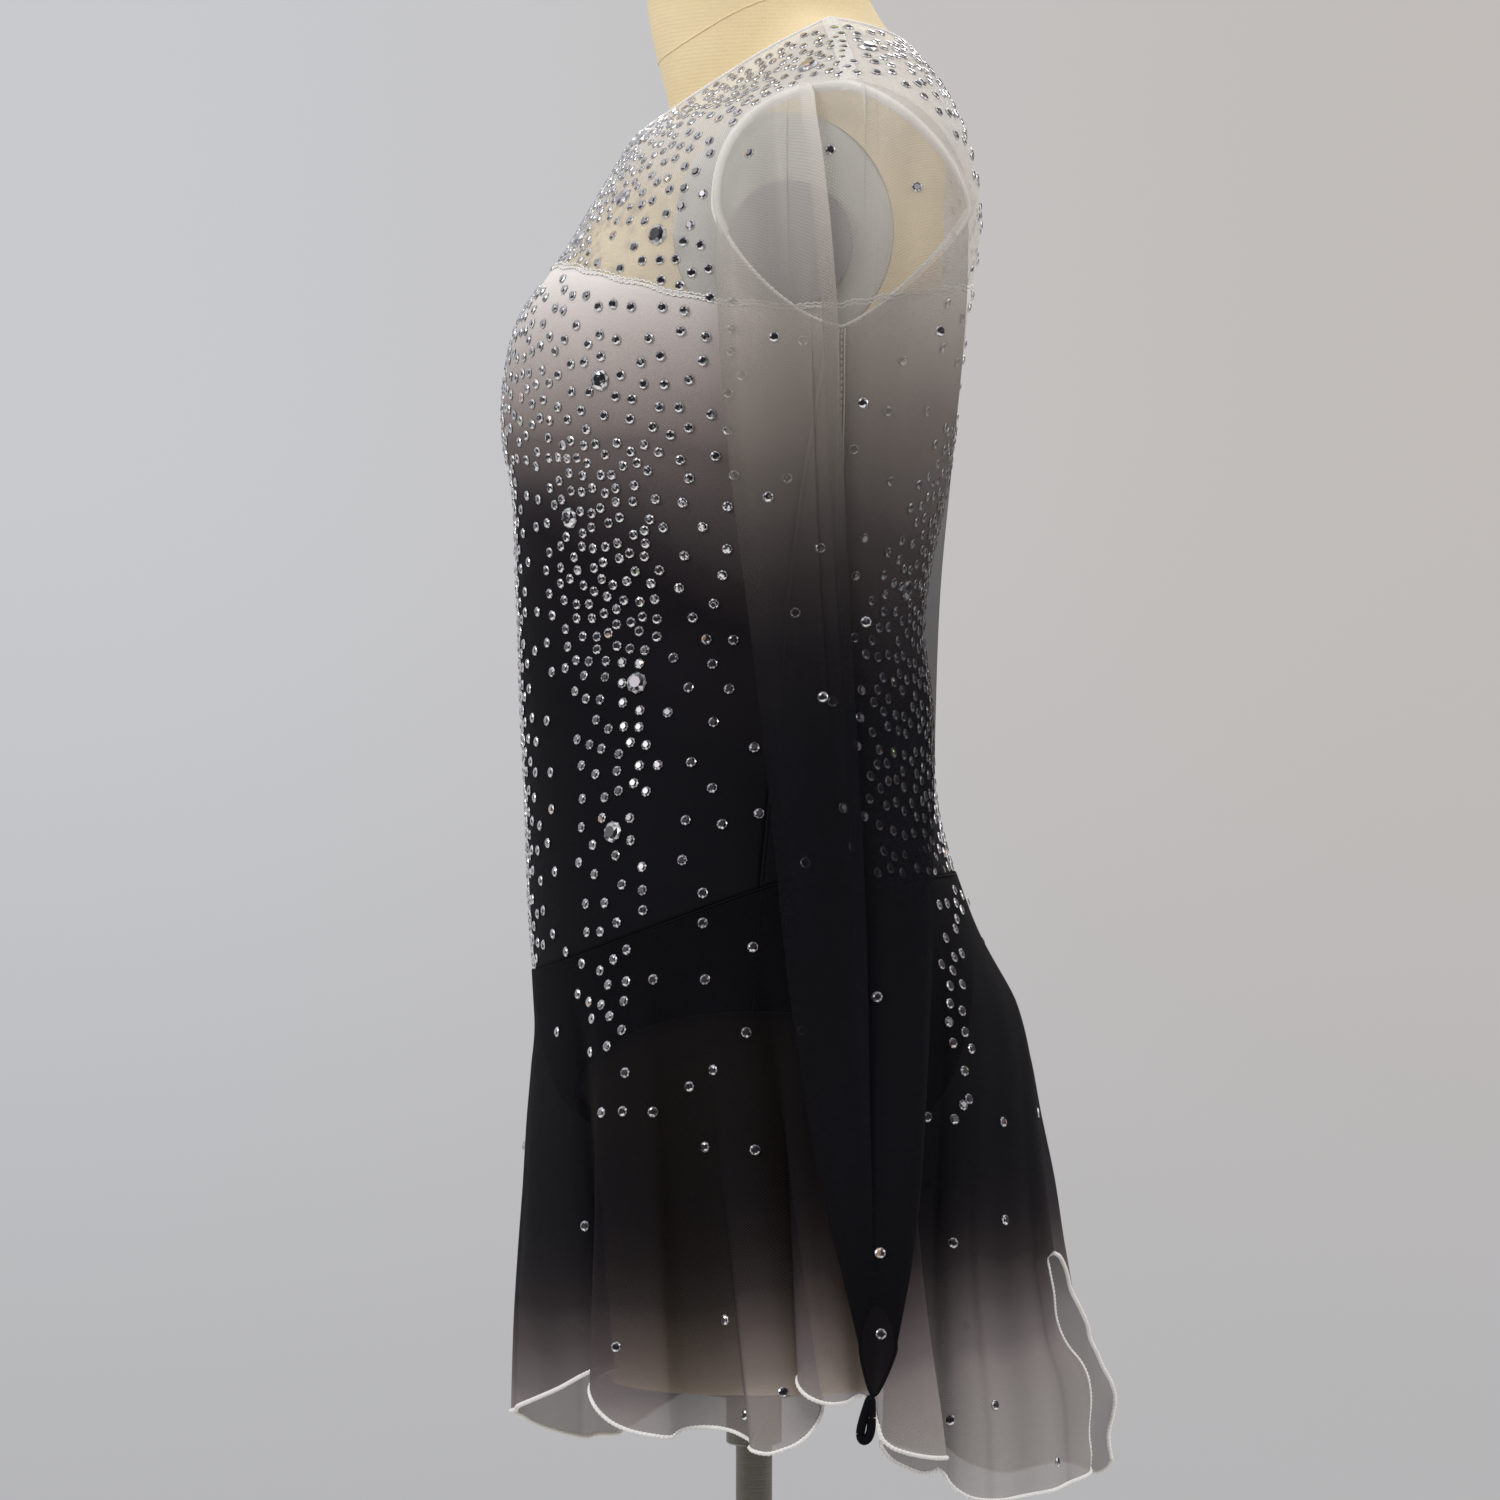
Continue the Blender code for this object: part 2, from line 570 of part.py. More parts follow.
def make_body_of_dress():
    armholes = [armhole_cutter(side) for side in (1, -1)]
    legs = [leg_cutter(side) for side in (1, -1)]
    for back, name in ((False, "front"), (True, "back")):
        angles = body_angles(back, PANEL_COLUMNS)
        yoke = body_panel("yoke_" + name, angles, neckline, above_top_seam, YOKE_ROWS, SHEER_WHITE)
        bodice = body_panel(
            "bodice_" + name, angles, below_top_seam, above_hip_seam, BODICE_ROWS, DYED_STRETCH)
        for panel in (yoke, bodice):
            for cutter in armholes:
                cut(panel, cutter)
        angles = body_angles(back, BRIEFS_COLUMNS)
        briefs = body_panel("briefs_" + name, angles, below_hip_seam, crotch, BRIEFS_ROWS, BLACK_STRETCH)
        for cutter in legs:
            cut(briefs, cutter)


# Skirt

def skirt_fold(angle):
    """The fold at an angle: its phase, the depth there, and the angle between its two ridges."""
    ridges = (FOLDS[-1]._replace(angle=FOLDS[-1].angle - 360),) + FOLDS
    ridges += (FOLDS[0]._replace(angle=FOLDS[0].angle + 360),)
    for first, second in zip(ridges, ridges[1:]):
        if angle <= second.angle:
            share = (angle - first.angle) / (second.angle - first.angle)
            depth = first.depth + (second.depth - first.depth) * eased(share)
            return 2 * math.pi * share, depth, second.angle - first.angle
    raise ValueError(angle)


def skirt_base(z, angle):
    return body_point(SKIRT, number_at(SKIRT, z), angle)


def skirt_point(angle, share):
    """A point of the skirt, share 0 at the hip seam and 1 at the hem."""
    phase, depth, width = skirt_fold(angle)
    top = hip_seam_height(angle) - PANEL_GAP / 2
    hem = height_at(HEM, angle) + VALLEY_RAISE * (1 - math.cos(phase)) / 2
    z = top + (hem - top) * share
    open_share = max(0.0, (SLIT_TOP - z) / (SLIT_TOP - HEM[-1][1]))
    near_slit = eased((abs(angle) - 180 + SLIT_SPREAD) / SLIT_SPREAD)
    angle -= math.copysign(SLIT_ANGLE * open_share * near_slit, angle)
    base = skirt_base(z, angle)
    ahead, behind = skirt_base(z, angle + 1), skirt_base(z, angle - 1)
    along = (ahead - behind).normalized()
    outward = Vector((along.y, -along.x, 0))
    rise = share**FOLD_GROWTH
    arc = (ahead - behind).length / math.radians(2) * math.radians(width) / (2 * math.pi)
    folded = base + outward * depth * rise * math.cos(phase)
    folded += along * FOLD_SPREAD * arc * rise * math.sin(phase)
    on_body = body_point(DRESS, number_at(DRESS, z), angle) + outward * SKIRT_STAND_OFF
    return on_body.lerp(folded, eased(share / SKIRT_LEAVES_BODY))


def skirt_angles(first, last):
    """Angles from one valley or ridge to another, evenly spread in each half fold."""
    stops = [fold.angle for fold in FOLDS]
    stops += [(a + b) / 2 for a, b in zip(stops, stops[1:])] + [-180, 180]
    stops = sorted({stop for stop in stops + [first, last] if first <= stop <= last})
    angles = []
    for a, b in zip(stops, stops[1:]):
        angles += spaced(a, b, COLUMNS_IN_HALF_FOLD)[:-1]
    angles.append(stops[-1])
    gap = half_gap_angle(SKIRT[0].back)
    angles[0] += gap
    angles[-1] -= gap
    return angles


def make_skirt():
    panels = (
        ("skirt_front", RIGHT_SIDE_SEAM, LEFT_SIDE_SEAM),
        ("skirt_back_left", LEFT_SIDE_SEAM, 180),
        ("skirt_back_right", -180, RIGHT_SIDE_SEAM),
    )
    for name, first, last in panels:
        angles = skirt_angles(first, last)
        rows = [[skirt_point(angle, share) for angle in angles] for share in spaced(0, 1, SKIRT_ROWS)]
        cloth_wall(name, rows, SKIRT_MESH)


# Sleeves, with their bindings and finger loops

def sleeve_ring_point(ring, turn):
    cosine, sine = math.cos(math.radians(turn)), math.sin(math.radians(turn))
    return Vector((
        (ring.outer_x + ring.inner_x) / 2 + (ring.outer_x - ring.inner_x) / 2 * cosine,
        (ring.front + ring.back) / 2 + (ring.back - ring.front) / 2 * sine,
        (ring.outer_z + ring.inner_z) / 2 + (ring.outer_z - ring.inner_z) / 2 * cosine,
    ))


def sleeve_point(turn, t):
    """A point of the left sleeve: t is 0 at the armhole and counts the rings after it."""
    place, outward = armhole_place(turn)
    keys = [place + outward * SLEEVE_STANDS_OFF] + [sleeve_ring_point(ring, turn) for ring in SLEEVE]
    point = Vector((spline([key[axis] for key in keys], t) for axis in range(3)))
    for fold in SLEEVE_FOLDS:
        away = from_front(turn - fold.angle) / fold.width
        along = eased((t - fold.first) / SLEEVE_FOLD_DEEPENS) * eased((fold.last - t) / SLEEVE_FOLD_FADES)
        point.x -= fold.depth * along * math.exp(-away * away)
    return point


def make_sleeve(side):
    turns = spaced(0, 360, SLEEVE_COLUMNS)[:-1]
    stretches = (
        ("upper", 0, SLEEVE_ELBOW - ELBOW_HALF_GAP, UPPER_SLEEVE_ROWS),
        ("lower", SLEEVE_ELBOW + ELBOW_HALF_GAP, len(SLEEVE), LOWER_SLEEVE_ROWS),
    )
    for stretch, first, last, count in stretches:
        rows = []
        for t in spaced(first, last, count):
            ring = [sleeve_point(turn, t) for turn in turns]
            rows.append([(side * p.x, p.y, p.z) for p in ring])
        name = "sleeve_" + side_name(side) + "_" + stretch
        cloth_wall(name, rows, SLEEVE_MESH, closed=True)


def cord_ring(name, points, radius, finish):
    """A closed round cord through a ring of points."""
    data = bpy.data.curves.new(name, "CURVE")
    data.dimensions = "3D"
    data.bevel_depth = radius
    data.bevel_resolution = 1
    line = data.splines.new("POLY")
    line.points.add(len(points) - 1)
    for knot, point in zip(line.points, points):
        knot.co = (*point, 1)
    line.use_cyclic_u = True
    data.materials.append(material(finish))
    obj = bpy.data.objects.new(name, data)
    DRESS_PARTS.objects.link(obj)
    return obj


def make_binding(side):
    points = []
    for turn in spaced(0, 360, BINDING_POINTS)[:-1]:
        place = armhole_place(turn)[0]
        points.append((side * place.x, place.y, place.z))
    cord_ring("armhole_binding_" + side_name(side), points, BINDING_RADIUS, WHITE_BINDING)


def make_finger_loop(side):
    """A drop of cord hanging from the point of the hand cover, its narrow end up."""
    cuff = SLEEVE[-1]
    below_cuff = SEAM_GAP + LOOP_CORD_RADIUS
    top = Vector((cuff.outer_x, (cuff.front + cuff.back) / 2, cuff.outer_z - below_cuff))
    points = []
    for i in range(LOOP_POINTS):
        turn = 2 * math.pi * i / LOOP_POINTS
        fall = (1 - math.cos(turn)) / 2
        fullness = LOOP_NARROW_END + (1 - LOOP_NARROW_END) * fall
        points.append((
            side * top.x,
            top.y - LOOP_SWING * fall + LOOP_HALF_WIDTH * fullness * math.sin(turn),
            top.z - (LOOP_LENGTH - 2 * LOOP_CORD_RADIUS) * fall,
        ))
    cord_ring("finger_loop_" + side_name(side), points, LOOP_CORD_RADIUS, BLACK_STRETCH)


# Dress form

def leaning_loft(name, rings, around, side, finish):
    points = []
    for ring in rings:
        for i in range(around):
            turn = 2 * math.pi * i / around
            x = ring.x + ring.half_x * math.cos(turn)
            z = ring.z + ring.rise * (x - ring.x)
            points.append((side * x, ring.y + ring.half_y * math.sin(turn), z))
    # The rings run downwards, so the faces turn the other way.
    return closed_loft(name, points, around, side > 0, finish)


def make_form_body():
    points = []
    for section in FORM:
        for i in range(FORM_COLUMNS):
            points.append(section_point(section, 360 * i / FORM_COLUMNS))
    body = closed_loft("form_body", points, FORM_COLUMNS, True, FORM_CLOTH)
    cut(body, leaning_loft("neck_shape", NECK, FORM_COLUMNS, 1, None), "UNION")
    for side in (1, -1):
        thigh = leaning_loft("thigh_shape_" + side_name(side), THIGH, THIGH_COLUMNS, side, None)
        cut(body, thigh, "UNION")
        outer = PLATE_OUTER_X + PLATE_RECESS_REACH
        recess = oval_bar("plate_recess_" + side_name(side), side, PLATE_INNER_X, outer, SEAM_GAP, None)
        cut(body, recess)


def oval_bar(name, side, inner, outer, larger, finish):
    points = []
    for x in (inner, outer):
        for i in range(PLATE_SIDES):
            turn = 2 * math.pi * i / PLATE_SIDES
            y = PLATE_Y + (PLATE_HALF_DEPTH + larger) * math.cos(turn)
            z = PLATE_Z + (PLATE_HALF_HEIGHT + larger) * math.sin(turn)
            points.append((side * x, y, z))
    return closed_loft(name, points, PLATE_SIDES, side < 0, finish)


def turned(name, profile, finish, steps):
    """A turned body from its profile of (radius, height), which runs down its outer side."""
    points = [(radius, 0, height) for radius, height in profile]
    mesh = bpy.data.meshes.new(name)
    mesh.from_pydata(points, [(i, i + 1) for i in range(len(points) - 1)], [])
    mesh.materials.append(material(finish))
    obj = bpy.data.objects.new(name, mesh)
    DRESS_PARTS.objects.link(obj)
    screw = obj.modifiers.new("turn", "SCREW")
    screw.steps = steps
    screw.render_steps = steps
    screw.use_merge_vertices = True
    screw.merge_threshold = 0.0001
    screw.use_smooth_shade = False
    return obj


def make_end_plates(side):
    oval_bar("form_plate_" + side_name(side), side, PLATE_INNER_X + SEAM_GAP, PLATE_OUTER_X, 0, PLATE_GREY)
    profile = (
        (0, DISC_THICKNESS), (DISC_RADIUS - DISC_EDGE, DISC_THICKNESS),
        (DISC_RADIUS, DISC_THICKNESS - DISC_EDGE), (DISC_RADIUS, 0), (0, 0),
    )
    disc = turned("form_disc_" + side_name(side), profile, DISC_GREY, DISC_SIDES)
    disc.location = (side * (PLATE_OUTER_X + SEAM_GAP), DISC_Y, DISC_Z)
    disc.rotation_euler = (0, side * math.pi / 2, 0)


def make_stand():
    form_bottom = THIGH[-1].z
    collar_top = form_bottom - SEAM_GAP
    socket = POLE_RADIUS + SEAM_GAP
    flange_bottom = COLLAR_HEIGHT - COLLAR_FLANGE
    collar = turned("stand_collar", (
        (0, COLLAR_HEIGHT), (COLLAR_FLANGE_RADIUS, COLLAR_HEIGHT), (COLLAR_FLANGE_RADIUS, flange_bottom),
        (COLLAR_NECK_RADIUS, flange_bottom), (COLLAR_NECK_RADIUS, 0), (socket, 0), (socket, SOCKET_DEPTH),
        (0, SOCKET_DEPTH),
    ), STEEL, DISC_SIDES)
    collar.location = (POLE_X, POLE_Y, collar_top - COLLAR_HEIGHT)
    base = turned("stand_base", (
        (0, BASE_THICKNESS), (BASE_RADIUS - BASE_EDGE, BASE_THICKNESS),
        (BASE_RADIUS, BASE_THICKNESS - BASE_EDGE), (BASE_RADIUS, 0), (0, 0),
    ), STEEL, TURNED_STEPS)
    base.location = (BASE_X, 0, 0)
    foot_bottom = BASE_THICKNESS + SEAM_GAP
    socket_bottom = FOOT_HEIGHT - SOCKET_DEPTH
    foot = turned("stand_foot", (
        (0, socket_bottom), (socket, socket_bottom), (socket, FOOT_HEIGHT), (FOOT_RADIUS, FOOT_HEIGHT),
        (FOOT_RADIUS, FOOT_FLANGE), (FOOT_FLANGE_RADIUS, FOOT_FLANGE), (FOOT_FLANGE_RADIUS, 0), (0, 0),
    ), STEEL, DISC_SIDES)
    foot.location = (POLE_X, POLE_Y, foot_bottom)
    low = foot_bottom + socket_bottom + SEAM_GAP
    high = collar_top - COLLAR_HEIGHT + SOCKET_DEPTH - SEAM_GAP
    length = high - low
    pole = turned(
        "stand_pole", ((0, length), (POLE_RADIUS, length), (POLE_RADIUS, 0), (0, 0)), STEEL, POLE_SIDES)
    pole.location = (POLE_X, POLE_Y, low)


make_body_of_dress()
make_skirt()
for side in (1, -1):
    make_sleeve(side)
    make_binding(side)
    make_finger_loop(side)
    make_end_plates(side)
make_form_body()
make_stand()
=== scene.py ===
"""A long-sleeved figure skating dress on a limbless dress form.

Metres, +Z up, the floor at z = 0. The front faces -Y and the wearer's left is at +X. Angles round the
body run from 0 at the centre front, through 90 at the wearer's left, to 180 at the centre back.
"""
import math

import bmesh
import bpy
import numpy as np
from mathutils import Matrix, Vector
from mathutils.bvhtree import BVHTree


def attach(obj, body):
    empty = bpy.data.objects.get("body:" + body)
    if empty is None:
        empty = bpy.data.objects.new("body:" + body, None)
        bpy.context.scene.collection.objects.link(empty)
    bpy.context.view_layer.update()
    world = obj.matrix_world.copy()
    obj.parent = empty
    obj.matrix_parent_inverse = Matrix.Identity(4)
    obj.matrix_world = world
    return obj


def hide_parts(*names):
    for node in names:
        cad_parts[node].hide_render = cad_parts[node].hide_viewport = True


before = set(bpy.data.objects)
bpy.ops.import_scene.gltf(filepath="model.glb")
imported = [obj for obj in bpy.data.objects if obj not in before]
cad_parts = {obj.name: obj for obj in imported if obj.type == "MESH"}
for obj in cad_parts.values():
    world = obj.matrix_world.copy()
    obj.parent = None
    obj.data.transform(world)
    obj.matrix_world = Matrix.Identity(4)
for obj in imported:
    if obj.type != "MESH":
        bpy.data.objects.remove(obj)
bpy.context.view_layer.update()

# Viewpoint. The wearer's left side, level with the waist, from 2.5 m away. The picture is 1500 pixels
# square and takes in 0.81 m at the middle of the dress.
VIEW_DISTANCE = 2.5
VIEW_WIDTH = 0.81
VIEW_PIXELS = 1500
VIEW_Y = -0.0011
VIEW_Z = 1.0040
SENSOR = 36.0
viewpoint = bpy.data.objects.new("viewpoint", bpy.data.cameras.new("viewpoint"))
viewpoint.location = (VIEW_DISTANCE, VIEW_Y, VIEW_Z)
viewpoint.rotation_euler = (math.pi / 2, 0, math.pi / 2)
viewpoint.data.sensor_width = SENSOR
viewpoint.data.lens = SENSOR * VIEW_DISTANCE / VIEW_WIDTH
viewpoint.data.clip_start = 0.05
bpy.context.scene.collection.objects.link(viewpoint)
bpy.context.scene.camera = viewpoint
bpy.context.scene.view_settings.view_transform = "Standard"


# Floor and light. A plain pale floor, a pale grey surround that is brightest overhead, and four large
# soft lamps: over the front, over the back, and a weaker one on either side.
class Wire:
    """One output of a finish's nodes. Arithmetic on it adds Math nodes."""

    def __init__(self, tree, socket=None):
        self.tree = tree
        self.socket = socket

    def node(self, kind, settings, inputs, out=0):
        """Adds a node: its settings first, then the values or wires of its inputs."""
        made = self.tree.nodes.new(kind)
        for name, value in settings.items():
            if name == "stops":
                for _ in value[2:]:
                    made.color_ramp.elements.new(1.0)
                for stop, (place, colour) in zip(made.color_ramp.elements, value):
                    stop.position = place
                    stop.color = (*colour, 1.0)
            else:
                setattr(made, name, value)
        for name, value in inputs.items():
            if isinstance(value, Wire):
                self.tree.links.new(value.socket, made.inputs[name])
            else:
                made.inputs[name].default_value = value
        return Wire(self.tree, made.outputs[out])

    def math(self, operation, first, second=0.0):
        return self.node("ShaderNodeMath", {"operation": operation}, {0: first, 1: second})

    def __add__(self, other):
        return self.math("ADD", self, other)

    def __sub__(self, other):
        return self.math("SUBTRACT", self, other)

    def __rsub__(self, other):
        return self.math("SUBTRACT", other, self)

    def __mul__(self, other):
        return self.math("MULTIPLY", self, other)

    def __truediv__(self, other):
        return self.math("DIVIDE", self, other)

    def sine(self):
        return self.math("SINE", self)

    def between(self, low, high):
        """0 below low and 1 above high, eased between them."""
        return self.node(
            "ShaderNodeMapRange", {"interpolation_type": "SMOOTHSTEP"},
            {"Value": self, "From Min": low, "From Max": high})

    def shade(self, stops):
        """The colour at its height, by stops of (height, colour)."""
        low, high = stops[0][0], stops[-1][0]
        spread = [((place - low) / (high - low), colour) for place, colour in stops]
        return self.node("ShaderNodeValToRGB", {"stops": spread}, {0: (self - low) / (high - low)})

    def mixed(self, first, second):
        """The colour first where it is 0, and second where it is 1."""
        ends = [value if isinstance(value, Wire) else (*value, 1.0) for value in (first, second)]
        return self.node("ShaderNodeMix", {"data_type": "RGBA"}, {0: self, 6: ends[0], 7: ends[1]}, 2)

    def axes(self):
        return [self.node("ShaderNodeSeparateXYZ", {}, {0: self}, axis) for axis in range(3)]

    def noise(self, scale, detail=2.0, stretch=(1, 1, 1)):
        """Uneven values round 0.5, with scale of them to the metre."""
        spread = self.node("ShaderNodeVectorMath", {"operation": "MULTIPLY"}, {0: self, 1: stretch})
        return self.node(
            "ShaderNodeTexNoise", {}, {"Vector": spread, "Scale": scale, "Detail": detail})


class Finish:
    """A material: the values that are the same all over it are set on its shader, and the rest drawn."""

    def __init__(self, name, **fixed):
        self.material = bpy.data.materials.new(name)
        self.material.use_nodes = True
        self.tree = self.material.node_tree
        self.shader = self.tree.nodes["Principled BSDF"]
        for socket, value in fixed.items():
            self.shader.inputs[socket.replace("_", " ")].default_value = value
        self.start = Wire(self.tree)
        self.place = self.start.node("ShaderNodeTexCoord", {}, {}, "Object")

    def draw(self, socket, wire):
        self.tree.links.new(wire.socket, self.shader.inputs[socket])

    def mottle(self, scale, detail, first, second):
        """Its colour, unevenly between two tones."""
        self.draw("Base Color", self.place.noise(scale, detail).mixed(first, second))

    def stored(self, name, out):
        """What the piece keeps at each of its points under that name."""
        return self.start.node("ShaderNodeAttribute", {"attribute_name": name}, {}, out)

    def weave(self, across, along):
        """Crossed threads, followed by how the cloth lay when flat: radians to the metre each way."""
        u, v, _ = self.stored("lay", "Vector").axes()
        return (u * across).sine() * (v * along).sine()

    def relief(self, height, distance):
        """Bumps as high as height says, distance to each 1 of it."""
        bump = self.start.node("ShaderNodeBump", {}, {"Height": height, "Distance": distance})
        self.draw("Normal", bump)


FLOOR_RADIUS = 2.6
FLOOR_CORNERS = 96
floor_paint = Finish("pale floor", Specular_IOR_Level=0.2)
floor_paint.mottle(2.5, 4.0, (0.60, 0.59, 0.58), (0.66, 0.65, 0.64))
floor_paint.draw("Roughness", floor_paint.place.noise(12.0).between(0.0, 1.0) * 0.15 + 0.6)
floor_paint.relief(floor_paint.place.noise(300.0, 4.0), 0.0004)

floor_mesh = bpy.data.meshes.new("studio_floor")
floor_rim = [2 * math.pi * i / FLOOR_CORNERS for i in range(FLOOR_CORNERS)]
floor_mesh.from_pydata(
    [(FLOOR_RADIUS * math.cos(turn), FLOOR_RADIUS * math.sin(turn), 0) for turn in floor_rim], [],
    [range(FLOOR_CORNERS)])
floor_mesh.materials.append(floor_paint.material)
studio_floor = bpy.data.objects.new("studio_floor", floor_mesh)
bpy.context.scene.collection.objects.link(studio_floor)

surround = bpy.data.worlds.new("studio surround")
bpy.context.scene.world = surround
surround.use_nodes = True
aim_x, aim_y, aim_z = Wire(surround.node_tree).node("ShaderNodeTexCoord", {}, {}, "Generated").axes()
wall_tint = ((aim_y + 0.16) / 0.32).between(0.0, 1.0).mixed((0.580, 0.588, 0.612), (0.535, 0.505, 0.485))
wall_tint = aim_z.between(-0.22, 0.08).mixed((0.455, 0.455, 0.468), wall_tint)
room_tint = aim_x.between(-0.35, 0.75).mixed(wall_tint, (0.22, 0.22, 0.23))
ceiling = aim_z.between(0.35, 0.9).mixed(room_tint, (0.95, 0.95, 0.97))
surround.node_tree.links.new(ceiling.socket, surround.node_tree.nodes["Background"].inputs["Color"])

DRESS_MIDDLE = (0, 0, 1.05)


def soft_lamp(name, place, size, watts, colour):
    """A square lamp that faces the middle of the dress."""
    lamp = bpy.data.lights.new(name, "AREA")
    lamp.shape = "SQUARE"
    lamp.size = size
    lamp.energy = watts
    lamp.color = colour
    made = bpy.data.objects.new(name, lamp)
    made.location = place
    made.rotation_euler = (Vector(DRESS_MIDDLE) - Vector(place)).to_track_quat("-Z", "Y").to_euler()
    bpy.context.scene.collection.objects.link(made)


soft_lamp("front_lamp", (1.35, -1.90, 2.30), 1.2, 34.0, (1.0, 0.98, 0.95))
soft_lamp("back_lamp", (0.60, 2.20, 2.20), 1.2, 22.0, (1.0, 0.97, 0.93))
soft_lamp("side_lamp", (2.30, 0.50, 2.60), 1.0, 12.0, (1.0, 0.97, 0.93))
soft_lamp("far_lamp", (-2.30, 0.20, 2.40), 1.2, 20.0, (1.0, 0.98, 0.95))


# Stand. A round steel base plate, a turned foot and collar, and a steel tube that goes up into the left
# thigh of the form. All are turned, brushed and lightly polished.
POLE_X = 0.0850
POLE_Y = 0.0010
POLE_RADIUS = 0.0095
FORM_BOTTOM = 0.6750
COLLAR_HEIGHT = 0.0320
BASE_X = 0.0400
BASE_RADIUS = 0.2000
BASE_THICKNESS = 0.0060
SEAM_GAP = 0.0003

steel = Finish("brushed steel", Metallic=1.0)
steel_streaks = steel.place.noise(900.0, 2.0, (0.03, 0.03, 1.0))
steel.mottle(14.0, 3.0, (0.16, 0.148, 0.128), (0.25, 0.232, 0.205))
steel.draw("Roughness", steel_streaks * 0.14 + 0.22)
steel.relief(steel_streaks, 0.00006)


def add_piece(name, points, faces, material, sharp=None):
    """A new object from its points and faces, smooth but for edges sharper than that angle."""
    mesh = bpy.data.meshes.new(name)
    mesh.from_pydata([tuple(point) for point in points], [], [tuple(face) for face in faces])
    mesh.materials.append(material)
    mesh.shade_smooth()
    if sharp:
        mesh.set_sharp_from_angle(angle=math.radians(sharp))
    made = bpy.data.objects.new(name, mesh)
    bpy.context.scene.collection.objects.link(made)
    return made


def hold(piece, slot, *nodes):
    """The piece rides on the one body and stands for those solids, which are hidden. slot is not used."""
    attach(piece, "root")
    if nodes:
        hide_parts(*nodes)


def turned(name, profile, place, material, steps=96, lying=0):
    """A turned body through its profile of (radius, height), from its top down its outside.
    lying is 1 or -1 where its axis lies along X and its top faces that way."""
    points, rings = [], []
    for radius, height in profile:
        count = steps if radius else 1
        rings.append(range(len(points), len(points) + count))
        for i in range(count):
            turn = 2 * math.pi * i / steps
            across, deep = radius * math.cos(turn), radius * math.sin(turn)
            local = (lying * height, across, deep * lying) if lying else (across, deep, height)
            points.append(Vector(place) + Vector(local))
    faces = []
    for upper, lower in zip(rings, rings[1:]):
        for i in range(steps):
            k = (i + 1) % steps
            corners = [(upper, i), (lower, i), (lower, k), (upper, k)]
            faces.append(list(dict.fromkeys(ring[number % len(ring)] for ring, number in corners)))
    return add_piece(name, points, faces, material, sharp=35)


foot_bottom = BASE_THICKNESS + SEAM_GAP
collar_bottom = FORM_BOTTOM - SEAM_GAP - COLLAR_HEIGHT
hold(turned("round_base", (
    (0, BASE_THICKNESS), (0.1960, BASE_THICKNESS), (0.1980, 0.0057), (0.1994, 0.0048), (BASE_RADIUS, 0.0036),
    (BASE_RADIUS, 0.0004), (0.1996, 0), (0, 0),
), (BASE_X, 0, 0), steel.material, steps=128), "brushed_steel", "stand_base")
hold(turned("pole_foot", (
    (0.0098, 0.0070), (0.0098, 0.0312), (0.0105, 0.0320), (0.0152, 0.0320), (0.0160, 0.0312),
    (0.0160, 0.0075), (0.0172, 0.0056), (0.0195, 0.0050), (0.0312, 0.0050), (0.0320, 0.0042), (0.0320, 0),
    (0, 0), (0, 0.0070), (0.0098, 0.0070),
), (POLE_X, POLE_Y, foot_bottom), steel.material), "brushed_steel", "stand_foot")
hold(turned("form_collar", (
    (0, 0.0320), (0.0290, 0.0320), (0.0300, 0.0312), (0.0300, 0.0278), (0.0292, 0.0270), (0.0180, 0.0270),
    (0.0150, 0.0255), (0.0145, 0.0235), (0.0145, 0.0008), (0.0138, 0), (0.0104, 0), (0.0098, 0.0006),
    (0.0098, 0.0250), (0, 0.0250),
), (POLE_X, POLE_Y, collar_bottom), steel.material), "brushed_steel", "stand_collar")
# How far above the bottom of the foot the pole starts, and how far above that of the collar it ends
POLE_STARTS = 0.0073
POLE_ENDS = 0.0247
POLE_EDGE = 0.0008
pole_low = foot_bottom + POLE_STARTS
pole_length = collar_bottom + POLE_ENDS - pole_low
hold(turned("pole", (
    (0, pole_length), (POLE_RADIUS - POLE_EDGE, pole_length), (POLE_RADIUS, pole_length - POLE_EDGE),
    (POLE_RADIUS, POLE_EDGE), (POLE_RADIUS - POLE_EDGE, 0), (0, 0),
), (POLE_X, POLE_Y, pole_low), steel.material, steps=64), "brushed_steel", "stand_pole")


